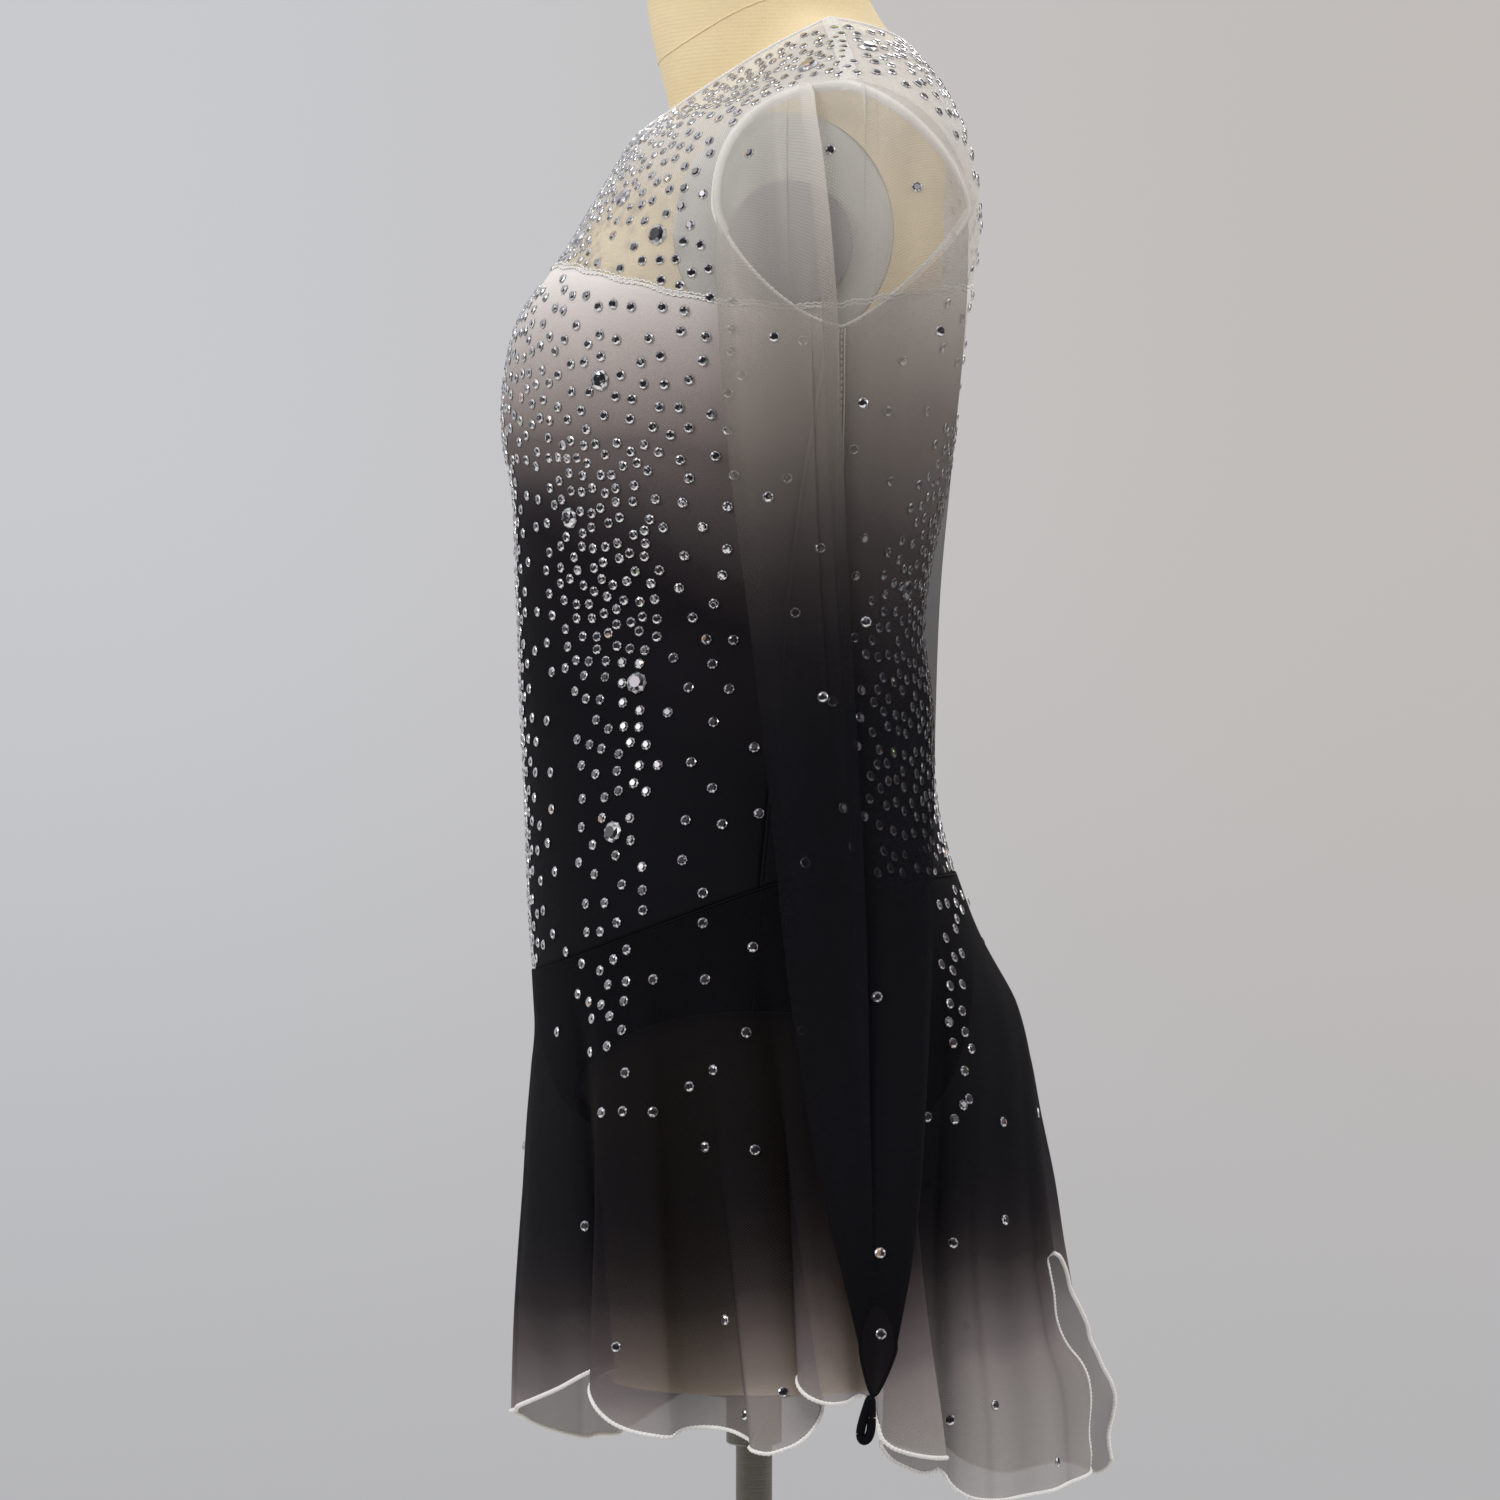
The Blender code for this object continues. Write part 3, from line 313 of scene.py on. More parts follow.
# Dress form. A padded torso with a short neck and two thigh ends, covered in cream cotton jersey that is
# pulled tight and sewn at the base of the neck and down the sides.
# Each row: height, where front, side and back lie along Y, half width, and how square front and back are.
FORM = (
    (1.3900, 0.0000, 0.0300, 0.0700, 0.0560, 1.6, 2.0), (1.3750, -0.0150, 0.0440, 0.0865, 0.0902, 1.3, 2.0),
    (1.3600, -0.0270, 0.0475, 0.0965, 0.1209, 1.25, 2.2),
    (1.3450, -0.0400, 0.0490, 0.1010, 0.1290, 1.45, 2.5),
    (1.3300, -0.0560, 0.0480, 0.1025, 0.1345, 1.8, 2.8), (1.3100, -0.0700, 0.0475, 0.1030, 0.1382, 2.3, 3.0),
    (1.2900, -0.0820, 0.0470, 0.1025, 0.1388, 2.8, 3.0), (1.2700, -0.0940, 0.0460, 0.1020, 0.1390, 3.0, 3.0),
    (1.2500, -0.1090, 0.0440, 0.1015, 0.1392, 2.9, 3.0), (1.2300, -0.1210, 0.0410, 0.1010, 0.1398, 2.7, 2.9),
    (1.2000, -0.1280, 0.0360, 0.1000, 0.1402, 2.45, 2.7),
    (1.1700, -0.1288, 0.0310, 0.0990, 0.1385, 2.35, 2.5),
    (1.1400, -0.1238, 0.0260, 0.0970, 0.1335, 2.3, 2.4), (1.1000, -0.1228, 0.0210, 0.0905, 0.1222, 2.25, 2.3),
    (1.0670, -0.1216, 0.0170, 0.0880, 0.1150, 2.2, 2.2), (1.0300, -0.1205, 0.0140, 0.0920, 0.1220, 2.2, 2.2),
    (0.9800, -0.1180, 0.0090, 0.0942, 0.1395, 2.2, 2.2), (0.9500, -0.1172, 0.0060, 0.1005, 0.1485, 2.2, 2.2),
    (0.9200, -0.1157, 0.0035, 0.1095, 0.1557, 2.2, 2.2), (0.8900, -0.1132, 0.0015, 0.1145, 0.1600, 2.2, 2.2),
    (0.8600, -0.1110, 0.0000, 0.1125, 0.1603, 2.2, 2.2), (0.8370, -0.1058, 0.0000, 0.1060, 0.1560, 2.2, 2.2),
    (0.8180, -0.0950, 0.0000, 0.0940, 0.1430, 2.1, 2.1), (0.8050, -0.0720, 0.0000, 0.0730, 0.1150, 2.0, 2.0),
    (0.7985, -0.0360, 0.0000, 0.0380, 0.0700, 2.0, 2.0),
)
# Each ring: its middle, its half sizes along X and Y, and how much it rises outwards.
NECK = (
    (0.0, -0.0040, 1.4620, 0.0480, 0.0535, 0.0), (0.0, -0.0035, 1.4590, 0.0525, 0.0585, 0.0),
    (0.0, 0.0032, 1.4090, 0.0530, 0.0605, 0.0), (0.0, 0.0120, 1.3850, 0.0545, 0.0655, 0.0),
    (0.0, 0.0160, 1.3600, 0.0560, 0.0630, 0.0), (0.0, 0.0160, 1.3300, 0.0500, 0.0560, 0.0),
)
THIGH = (
    (0.0940, 0.0, 0.8440, 0.0590, 0.0800, 0.60), (0.0940, 0.0, 0.8230, 0.0610, 0.0840, 0.55),
    (0.0935, 0.0020, 0.7850, 0.0605, 0.0850, 0.25), (0.0920, 0.0030, 0.7300, 0.0595, 0.0820, 0.05),
    (0.0900, 0.0040, 0.6750, 0.0585, 0.0790, 0.0),
)
PLATE_Y = 0.0160
PLATE_Z = 1.2690
PLATE_HALF_DEPTH = 0.0560
PLATE_HALF_HEIGHT = 0.0610
PLATE_INNER_X = 0.1265
PLATE_OUTER_X = 0.1370
PLATE_RECESS_REACH = 0.0200
FORM_VOXEL = 0.0045

jersey = Finish("cream cotton jersey", Roughness=0.85, Specular_IOR_Level=0.25, Sheen_Weight=0.15)
jersey_x, jersey_y, jersey_z = jersey.place.axes()
jersey_ribs = ((jersey_y + jersey_x * 0.7) * 3900.0).sine() * 0.5 + (jersey_z * 3000.0).sine() * 0.5
jersey_tone = jersey.place.noise(9.0, 3.0).mixed((0.76, 0.620, 0.375), (0.84, 0.700, 0.440))
jersey.draw("Base Color", (jersey.place.noise(160.0, 3.0) * 0.25).mixed(jersey_tone, (0.62, 0.50, 0.30)))
jersey.relief(jersey_ribs * 0.3 + jersey.place.noise(700.0, 3.0), 0.0002)


def bend(start, end, slope, end_slope, u):
    """A place on the smooth bend from start to end, u of the way along it, by its slopes at both."""
    return (start * (2 * u**3 - 3 * u**2 + 1) + end * (3 * u**2 - 2 * u**3)
            + slope * (u**3 - 2 * u**2 + u) + end_slope * (u**3 - u**2))


def with_ends(rows):
    """Rows with one more before and after them, in line with the last two at that end."""
    return np.concatenate((2 * rows[:1] - rows[1:2], rows, 2 * rows[-1:] - rows[-2:-1]))


def curves_through(rows, steps):
    """A table's columns joined by smooth curves."""
    rows = np.array(rows, float)
    numbers = np.linspace(0, len(rows) - 1, steps)
    first = np.minimum(numbers.astype(int), len(rows) - 2)
    ends = with_ends(rows)
    before, a, b, after = (ends[first + i] for i in range(4))
    return bend(a, b, (b - before) / 2, (after - a) / 2, (numbers - first)[:, None])


def torso(rows):
    """The surface through level sections, as a function of angle and height."""
    columns = curves_through(rows, 4000).T

    def surface(angle, z):
        angle, z = np.broadcast_arrays(np.asarray(angle, float), np.asarray(z, float))
        front, side, back, half_width, front_square, back_square = (
            np.interp(-z, -columns[0], column) for column in columns[1:])
        cosine, sine = np.cos(np.radians(angle)), np.sin(np.radians(angle))
        square = np.where(cosine < 0, back_square, front_square)
        reach = np.where(cosine < 0, back, front)
        r = (abs(cosine) ** square + abs(sine) ** square) ** (-1 / square)
        return np.stack((half_width * r * sine, side + (reach - side) * r * abs(cosine), z), -1)
    return surface


def loft(rings):
    """Points and faces of a closed body through rings of as many points each."""
    around = len(rings[0])
    points = [point for ring in rings for point in ring]
    faces = [range(around), range(len(points) - around, len(points))[::-1]]
    for i in range(len(rings) - 1):
        for j in range(around):
            k = (j + 1) % around
            faces.append((i * around + j, (i + 1) * around + j, (i + 1) * around + k, i * around + k))
    return points, faces


def leaning_rings(table, side, steps, around):
    """The rings through a table of leaning ovals, all on one side."""
    rings = []
    for x, y, z, half_x, half_y, rise in curves_through(table, steps):
        turns = np.linspace(0, 2 * np.pi, around, endpoint=False) * side
        across = half_x * np.cos(turns)
        rings.append(np.stack((side * (x + across), y + half_y * np.sin(turns), z + rise * across), -1))
    return rings


def settled(obj):
    """The object with its modifiers applied to its mesh."""
    bpy.context.view_layer.update()
    final = bpy.data.meshes.new_from_object(obj.evaluated_get(bpy.context.evaluated_depsgraph_get()))
    obj.modifiers.clear()
    obj.data = final
    return obj


form_surface = torso(FORM)
form_angles = np.linspace(0, 360, 96, endpoint=False)
form_heights = curves_through(FORM, 110)[:, 0]
form_parts = [[form_surface(form_angles, z) for z in form_heights]]
form_parts += [leaning_rings(table, side, 40, 96) for table, side in ((NECK, 1), (THIGH, 1), (THIGH, -1))]
form_points, form_faces = [], []
for part_points, part_faces in map(loft, form_parts):
    form_faces += [[i + len(form_points) for i in face] for face in part_faces]
    form_points += part_points
form_cover = add_piece("form_cover", form_points, form_faces, jersey.material)
remesh = form_cover.modifiers.new("one skin", "REMESH")
remesh.mode = "VOXEL"
remesh.voxel_size = FORM_VOXEL
remesh.use_smooth_shade = True
smooth = form_cover.modifiers.new("pulled tight", "CORRECTIVE_SMOOTH")
smooth.iterations = 8
smooth.smooth_type = "LENGTH_WEIGHTED"
smooth.use_only_smooth = True
settled(form_cover)


def plate_ring(side, x, half_depth, half_height):
    """A ring round the axis of an end plate."""
    turns = np.linspace(0, 2 * np.pi, 120, endpoint=False) * -side
    return np.stack((np.full(120, side * x), PLATE_Y + half_depth * np.cos(turns),
                     PLATE_Z + half_height * np.sin(turns)), -1)


SIDES = ((1, "left"), (-1, "right"))
for side, _ in SIDES:
    recess = add_piece("plate_recess", *loft([
        plate_ring(side, x, PLATE_HALF_DEPTH + SEAM_GAP, PLATE_HALF_HEIGHT + SEAM_GAP)
        for x in (PLATE_INNER_X, PLATE_OUTER_X + PLATE_RECESS_REACH)]), jersey.material)
    seat = form_cover.modifiers.new("plate seat", "BOOLEAN")
    seat.object = recess
    seat.solver = "EXACT"
    settled(form_cover)
    bpy.data.objects.remove(recess)
form_cover.data.shade_smooth()
form_cover.data.set_sharp_from_angle(angle=math.radians(50))
hold(form_cover, "cream_form_cloth", "form_body")


def unit(ways):
    return ways / np.linalg.norm(ways, axis=-1)[..., None]


def gone_along(path):
    """The length of a path before each of its points."""
    return np.concatenate(([0], np.cumsum(np.linalg.norm(np.diff(path, axis=0), axis=1))))


def read_at(places, marks, rows):
    """Rows read at places along their marks."""
    return np.stack([np.interp(places, marks, column) for column in rows.T], -1)


def tree_of(*pieces):
    """The surfaces of pieces, to find places on."""
    points, faces = [], []
    for piece in pieces:
        faces += [[i + len(points) for i in face.vertices] for face in piece.data.polygons]
        points += [piece.matrix_world @ corner.co for corner in piece.data.vertices]
    return BVHTree.FromPolygons(points, faces)


def cord(name, path, radius, material, sides=6, closed=True, ripple=None):
    """A round cord through points. ripple is the length of a stitch and how much it swells the cord."""
    ahead = np.roll(path, -1, 0) - np.roll(path, 1, 0)
    if not closed:
        ahead[0], ahead[-1] = path[1] - path[0], path[-1] - path[-2]
    ahead = unit(ahead)
    across = np.cross(ahead, (0.0, 0.0, 1.0))
    flat = np.linalg.norm(across, axis=1) < 1e-6
    across[flat] = np.cross(ahead[flat], (0.0, 1.0, 0.0))
    across = unit(across)
    up = np.cross(across, ahead)
    thick = np.full(len(path), radius)
    if ripple:
        thick = thick + ripple[1] * np.cos(2 * np.pi * gone_along(path) / ripple[0])
    turns = np.linspace(0, 2 * np.pi, sides, endpoint=False)
    rings = path[:, None] + thick[:, None, None] * (
        across[:, None] * np.cos(turns)[None, :, None] + up[:, None] * np.sin(turns)[None, :, None])
    number = np.arange(len(path) * sides).reshape(len(path), sides)
    if closed:
        number = np.concatenate((number, number[:1]))
    beside = np.roll(number, -1, 1)
    faces = np.stack((number[:-1], beside[:-1], beside[1:], number[1:]), -1).reshape(-1, 4).tolist()
    if not closed:
        faces += [number[0][::-1].tolist(), number[-1].tolist()]
    return add_piece(name, rings.reshape(-1, 3), faces, material)


def evenly(path, step):
    """Points along a path, that far apart."""
    gone = gone_along(path)
    return read_at(np.linspace(0, gone[-1], max(2, int(gone[-1] / step) + 1)), gone, path)


def onto(tree, points, lift):
    """Each point moved to the nearest place on a surface, and that far off it."""
    moved = []
    for point in points:
        place, normal = tree.find_nearest(Vector(point))[:2]
        moved.append(place + normal * lift)
    return np.array(moved)


# The form's seams: round the base of the neck and up its sides, each a narrow turned ridge.
NECK_SEAM_HALF_WIDTH = 0.0660
NECK_SEAM_HALF_DEPTH = 0.0640
NECK_SEAM_Y = 0.0120
NECK_SEAM_Z = 1.3930
NECK_SEAM_TILT = 0.0190
NECK_SEAM_SIDE_RISE = 0.0100
NECK_SIDE = (0.0750, 0.0060)
NECK_SIDE_HEIGHTS = (1.4085, 1.4575)

form_tree = tree_of(form_cover)
neck_turns = np.radians(np.linspace(0, 360, 240, endpoint=False))
neck_cosine, neck_sine = np.cos(neck_turns), np.sin(neck_turns)
neck_seam = np.stack((
    NECK_SEAM_HALF_WIDTH * neck_sine, NECK_SEAM_Y - NECK_SEAM_HALF_DEPTH * neck_cosine,
    NECK_SEAM_Z - NECK_SEAM_TILT * neck_cosine + NECK_SEAM_SIDE_RISE * np.abs(neck_sine) ** 3), -1)
seam_ridge = cord("form_neck_seam", onto(form_tree, neck_seam, -0.0001), 0.0006, jersey.material)
hold(seam_ridge, "cream_form_cloth")
for side, side_name in SIDES:
    up_neck = [(side * NECK_SIDE[0], NECK_SIDE[1], z) for z in np.linspace(*NECK_SIDE_HEIGHTS, 60)]
    ridge = cord("form_side_seam_" + side_name, onto(form_tree, up_neck, -0.0001), 0.0005, jersey.material,
                 closed=False)
    hold(ridge, "cream_form_cloth")


# End plates. Where the arms would be, the form is closed by an oval grey plastic plate with a smaller dark
# disc screwed to it.
# From the plate's edge inwards: the share of its half size, and the share of how far out it lies
PLATE_FACE = ((1.0, 0.9880), (0.992, 0.9930), (0.975, 0.9960), (0.93, 0.9985), (0.86, 1.0000))
DISC_Y = 0.0190
DISC_Z = 1.2620


def moulded_plastic(name, tones, tone_scale, gloss_scale, roughest):
    made = Finish(name, Specular_IOR_Level=0.4)
    made.mottle(tone_scale, 3.0, *tones)
    made.draw("Roughness", made.place.noise(gloss_scale) * 0.2 + roughest)
    made.relief(made.place.noise(900.0, 3.0), 0.00008)
    return made.material


plate_plastic = moulded_plastic(
    "grey plate plastic", ((0.46, 0.475, 0.44), (0.53, 0.54, 0.50)), 30.0, 60.0, 0.4)
disc_plastic = moulded_plastic(
    "dark disc plastic", ((0.20, 0.185, 0.215), (0.25, 0.235, 0.265)), 40.0, 80.0, 0.35)
for side, side_name in SIDES:
    rings = [plate_ring(side, PLATE_INNER_X + SEAM_GAP, PLATE_HALF_DEPTH, PLATE_HALF_HEIGHT)]
    for share, out in PLATE_FACE:
        rings.append(
            plate_ring(side, PLATE_OUTER_X * out, PLATE_HALF_DEPTH * share, PLATE_HALF_HEIGHT * share))
    plate = add_piece("end_plate_" + side_name, *loft(rings), plate_plastic, sharp=40)
    hold(plate, "grey_end_plate", "form_plate_" + side_name)
    disc = turned("end_disc_" + side_name, (
        (0, 0.0040), (0.0045, 0.0040), (0.0050, 0.0045), (0.0300, 0.0045), (0.0315, 0.0042), (0.0323, 0.0035),
        (0.0325, 0.0026), (0.0325, 0), (0, 0),
    ), (side * (PLATE_OUTER_X + SEAM_GAP), DISC_Y, DISC_Z), disc_plastic, lying=side)
    hold(disc, "dark_end_disc", "form_disc_" + side_name)


# Body of the dress. It is cut in stretch cloth to the sections below, the same kind of rows as the form's.
# The neckline, the seam across the bust and the hip seam divide it into yoke, bodice and briefs.
DRESS = (
    (1.3960, -0.0420, 0.0395, 0.0760, 0.0560, 1.3, 2.0), (1.3890, -0.0430, 0.0405, 0.0795, 0.0665, 1.3, 2.0),
    (1.3750, -0.0460, 0.0440, 0.0900, 0.0925, 1.3, 2.0), (1.3600, -0.0490, 0.0475, 0.1005, 0.1240, 1.25, 2.2),
    (1.3450, -0.0520, 0.0490, 0.1075, 0.1500, 1.45, 2.5),
    (1.3300, -0.0650, 0.0490, 0.1125, 0.1635, 1.85, 3.0),
    (1.3100, -0.0765, 0.0480, 0.1170, 0.1685, 2.2, 3.7), (1.2900, -0.0880, 0.0470, 0.1195, 0.1695, 2.4, 4.2),
    (1.2700, -0.0995, 0.0460, 0.1195, 0.1685, 2.5, 4.2), (1.2500, -0.1140, 0.0440, 0.1165, 0.1650, 2.45, 3.7),
    (1.2300, -0.1260, 0.0410, 0.1140, 0.1585, 2.45, 3.2), (1.2000, -0.1325, 0.0360, 0.1110, 0.1500, 2.4, 2.7),
    (1.1700, -0.1328, 0.0310, 0.1075, 0.1445, 2.35, 2.5), (1.1400, -0.1275, 0.0260, 0.1030, 0.1375, 2.3, 2.4),
    (1.1000, -0.1262, 0.0210, 0.0945, 0.1260, 2.25, 2.3), (1.0670, -0.1248, 0.0170, 0.0915, 0.1185, 2.2, 2.2),
    (1.0300, -0.1237, 0.0140, 0.0955, 0.1255, 2.2, 2.2), (0.9800, -0.1212, 0.0090, 0.0978, 0.1430, 2.2, 2.2),
    (0.9500, -0.1200, 0.0060, 0.1040, 0.1520, 2.2, 2.2), (0.9200, -0.1190, 0.0035, 0.1135, 0.1592, 2.2, 2.2),
    (0.8900, -0.1166, 0.0015, 0.1185, 0.1635, 2.2, 2.2), (0.8600, -0.1145, 0.0000, 0.1165, 0.1640, 2.2, 2.2),
    (0.8350, -0.1095, 0.0000, 0.1100, 0.1605, 2.2, 2.2), (0.8130, -0.0985, 0.0000, 0.0975, 0.1480, 2.1, 2.1),
    (0.7985, -0.0740, 0.0000, 0.0750, 0.1200, 2.0, 2.0), (0.7915, -0.0380, 0.0000, 0.0400, 0.0800, 2.0, 2.0),
    (0.7900, -0.0003, 0.0000, 0.0003, 0.0450, 2.0, 2.0),
)
TOP_SEAM = ((0, 1.2620), (30, 1.2560), (50, 1.2450), (70, 1.2320), (90, 1.2290), (130, 1.2390), (180, 1.2500))
NECKLINE_FRONT = 1.3390
NECKLINE_SHOULDER = 1.3890
NECKLINE_BACK = 1.3820
# How far along Y the neckline's front, shoulder and back lie
NECKLINE_Y = (-0.0520, 0.0405, 0.0795)
HIP_SEAM_FRONT = 0.8860
HIP_SEAM_BACK = 0.9375
HIP_SEAM_SLOPE = 0.40
HIP_SEAM_MIDDLE = 0.9060
HIP_SEAM_ROUNDING = 0.0040
ARMHOLE_Y = 0.0455
ARMHOLE_Z = 1.2795
ARMHOLE_HALF_DEPTH = 0.0635
ARMHOLE_HALF_HEIGHT = 0.0610
ARMHOLE_INNER_X = 0.0900
# How square each quarter of the armhole is: 2 for an oval, less for a straighter edge
ARMHOLE_TOP_FRONT_SQUARE = 2.3
ARMHOLE_TOP_BACK_SQUARE = 1.5
ARMHOLE_LOW_FRONT_SQUARE = 1.5
ARMHOLE_LOW_BACK_SQUARE = 1.25

OPAQUE_WALL = 0.0008
# How many threads cross each other, in radians to the metre
CLOTH_THREADS = (5200.0, 4200.0)
MESH_THREADS = (4600.0, 4600.0)

dress_surface = torso(DRESS)


def from_front(angle):
    """The angle counted to 180 on either side of the front."""
    return (np.asarray(angle) + 180) % 360 - 180


def along_table(table, angle):
    """A height read from a table of (angle, height), smooth through its rows and level at its ends."""
    places, heights = np.array(table, float).T
    slopes = np.zeros(len(places))
    slopes[1:-1] = (heights[2:] - heights[:-2]) / (places[2:] - places[:-2])
    i = np.clip(np.searchsorted(places, angle, "right") - 1, 0, len(places) - 2)
    wide = places[i + 1] - places[i]
    u = (angle - places[i]) / wide
    return bend(heights[i], heights[i + 1], slopes[i] * wide, slopes[i + 1] * wide, u)


def top_seam(angle):
    return along_table(TOP_SEAM, abs(from_front(angle)))


def hip_seam(angle):
    climb = dress_surface(angle, HIP_SEAM_MIDDLE)[..., 1] - dress_surface(0, HIP_SEAM_MIDDLE)[1]
    climb = HIP_SEAM_FRONT + HIP_SEAM_SLOPE * climb
    return (climb + HIP_SEAM_BACK - np.hypot(climb - HIP_SEAM_BACK, HIP_SEAM_ROUNDING)) / 2


def neckline(angle):
    """Where the body's surface meets a slanting plane in front and another behind."""
    height = np.full(np.shape(angle), NECKLINE_SHOULDER)
    front, side, back = NECKLINE_Y
    for _ in range(12):
        y = dress_surface(angle, height)[..., 1]
        ahead = NECKLINE_SHOULDER + (NECKLINE_FRONT - NECKLINE_SHOULDER) * (side - y) / (side - front)
        behind = NECKLINE_SHOULDER + (NECKLINE_BACK - NECKLINE_SHOULDER) * (y - side) / (back - side)
        height = np.where(y < side, ahead, behind)
    return height


def side_reach(y, z):
    """How far out along X the dress body lies at a place seen from the side."""
    y, z = np.broadcast_arrays(np.asarray(y, float), np.asarray(z, float))
    low, high = np.zeros(y.shape), np.full(y.shape, 180.0)
    for _ in range(24):
        middle = (low + high) / 2
        ahead = dress_surface(middle, z)[..., 1] < y
        low, high = np.where(ahead, middle, low), np.where(ahead, high, middle)
    return dress_surface(low, z)[..., 0]


def armhole_edge(turn):
    """The left armhole seen from the side: turn 0 at its top and 90 at its back. It is drawn in to a point
    under the arm."""
    cosine, sine = np.cos(np.radians(turn)), np.sin(np.radians(turn))
    top = np.where(sine > 0, ARMHOLE_TOP_BACK_SQUARE, ARMHOLE_TOP_FRONT_SQUARE)
    low = np.where(sine > 0, ARMHOLE_LOW_BACK_SQUARE, ARMHOLE_LOW_FRONT_SQUARE)
    square = np.where(cosine > 0, top, low)
    r = (abs(cosine) ** square + abs(sine) ** square) ** (-1 / square)
    return ARMHOLE_Y + ARMHOLE_HALF_DEPTH * r * sine, ARMHOLE_Z + ARMHOLE_HALF_HEIGHT * r * cosine


def armhole_place(turn):
    """A place on the left armhole's seam, and the way out of the body there."""
    y, z = armhole_edge(turn)
    step = 0.001
    slope_y = (side_reach(y + step, z) - side_reach(y - step, z)) / (2 * step)
    slope_z = (side_reach(y, z + step) - side_reach(y, z - step)) / (2 * step)
    outward = np.stack((np.ones(np.shape(y)), -slope_y, -slope_z), -1)
    return np.stack((side_reach(y, z), y, z), -1), unit(outward)


def cloth(name, rows, material, closed=False, armholes=False, folds=None):
    """Cloth through rows of points. It keeps how it lay when flat, in metres, for its weave, and where given
    how far its folds stand out. With armholes, it is cut away inside them, along their seam."""
    down, around = rows.shape[:2]
    number = np.arange(down * around).reshape(down, around)
    if closed:
        number = np.concatenate((number, number[:, :1]), 1)
    faces = np.stack((number[:-1, :-1], number[1:, :-1], number[1:, 1:], number[:-1, 1:]), -1).reshape(-1, 4)
    points = rows.reshape(-1, 3).copy()
    across = np.linalg.norm(np.diff(rows, axis=1, append=rows[:, -1:]), axis=2).mean(0)
    along = np.linalg.norm(np.diff(rows, axis=0, append=rows[-1:]), axis=2).mean(1)
    flat = np.zeros((down, around, 3))
    flat[..., 0] = np.cumsum(across)[None, :]
    flat[..., 1] = np.cumsum(along)[:, None]
    if armholes:
        out_y, out_z = points[:, 1] - ARMHOLE_Y, points[:, 2] - ARMHOLE_Z
        edge_y, edge_z = armhole_edge(np.degrees(
            np.arctan2(out_y / ARMHOLE_HALF_DEPTH, out_z / ARMHOLE_HALF_HEIGHT)))
        reach = np.hypot(out_y, out_z) / np.hypot(edge_y - ARMHOLE_Y, edge_z - ARMHOLE_Z)
        keep = np.where(abs(points[:, 0]) < ARMHOLE_INNER_X, np.inf, reach)[faces].mean(1) > 1.0
        cut_edge = np.intersect1d(faces[keep], faces[~keep])
        faces = faces[keep]
        y, z = edge_y[cut_edge], edge_z[cut_edge]
        points[cut_edge] = np.stack((np.sign(points[cut_edge, 0]) * side_reach(y, z), y, z), -1)
    used, faces = np.unique(faces, return_inverse=True)
    made = add_piece(name, points[used], faces.reshape(-1, 4), material)
    lay = made.data.attributes.new("lay", "FLOAT_VECTOR", "POINT")
    lay.data.foreach_set("vector", flat.reshape(-1, 3)[used].ravel())
    if folds is not None:
        stands_out = made.data.attributes.new("folds", "FLOAT", "POINT")
        stands_out.data.foreach_set("value", folds.reshape(-1)[used].astype(np.float32))
    return made


def thicken(piece):
    """Gives opaque cloth its wall, half of it to either side."""
    wall = piece.modifiers.new("wall", "SOLIDIFY")
    wall.thickness = OPAQUE_WALL
    wall.offset = 0
    settled(piece)


def body_rows(angles, top, bottom, count):
    """Rows of points on the body of the dress between two seams."""
    share = np.linspace(0, 1, count)[:, None]
    return dress_surface(angles[None, :], top * (1 - share) + bottom * share)


def panel_angles(back, count):
    """Angles from one side seam to the other, a little short of both."""
    middle = 180 if back else 0
    return np.linspace(middle - 90 + SIDE_SEAM_GAP, middle + 90 - SIDE_SEAM_GAP, count)


PANELS = ((False, "front"), (True, "back"))
# In degrees, from a side seam to the edge of each panel
SIDE_SEAM_GAP = 0.2


# Briefs. Sewn under the skirt in black stretch cloth, joined at the sides and under the crotch, the leg
# openings cut on a slant.
LEG_LINE_X = 0.0091
LEG_LINE_Z = 0.7793
LEG_LINE_SLOPE = 0.60

black_stretch = Finish("black stretch cloth", Roughness=0.8, Specular_IOR_Level=0.05)
black_stretch.mottle(40.0, 3.0, (0.0025, 0.0023, 0.0036), (0.0050, 0.0046, 0.0064))
black_ribs = black_stretch.weave(*CLOTH_THREADS)
black_stretch.relief(black_ribs * 0.3 + black_stretch.place.noise(500.0, 2.0), 0.0002)

for back, name in PANELS:
    angles = panel_angles(back, 120)
    rows = body_rows(angles, hip_seam(angles) - SEAM_GAP, DRESS[-1][0], 60)
    briefs = cloth("briefs_" + name + "_cloth", rows, black_stretch.material)
    shape = bmesh.new()
    shape.from_mesh(briefs.data)
    for side in (1, -1):
        half = [face for face in shape.faces if face.calc_center_median().x * side > 0]
        whole = half + list(dict.fromkeys(edge for face in half for edge in face.edges))
        whole += list(dict.fromkeys(corner for face in half for corner in face.verts))
        slant = math.atan(LEG_LINE_SLOPE)
        bmesh.ops.bisect_plane(
            shape, geom=whole, plane_co=(side * LEG_LINE_X, 0, LEG_LINE_Z),
            plane_no=(-side * math.sin(slant), 0, math.cos(slant)), clear_inner=True)
    shape.to_mesh(briefs.data)
    shape.free()
    thicken(briefs)
    hold(briefs, "black_stretch_cloth", "briefs_" + name)


# Bodice. Two panels of opaque stretch cloth, dip-dyed from near white at the bust to black at the waist and
# joined at the side seams. It fits close, with faint drag lines at the waist.
DRAG_LINES = 34
DRAG_HEIGHTS = (1.065, 0.955, 1.16)
WAIST_Y = 0.015
WAIST_RADIUS = 0.13

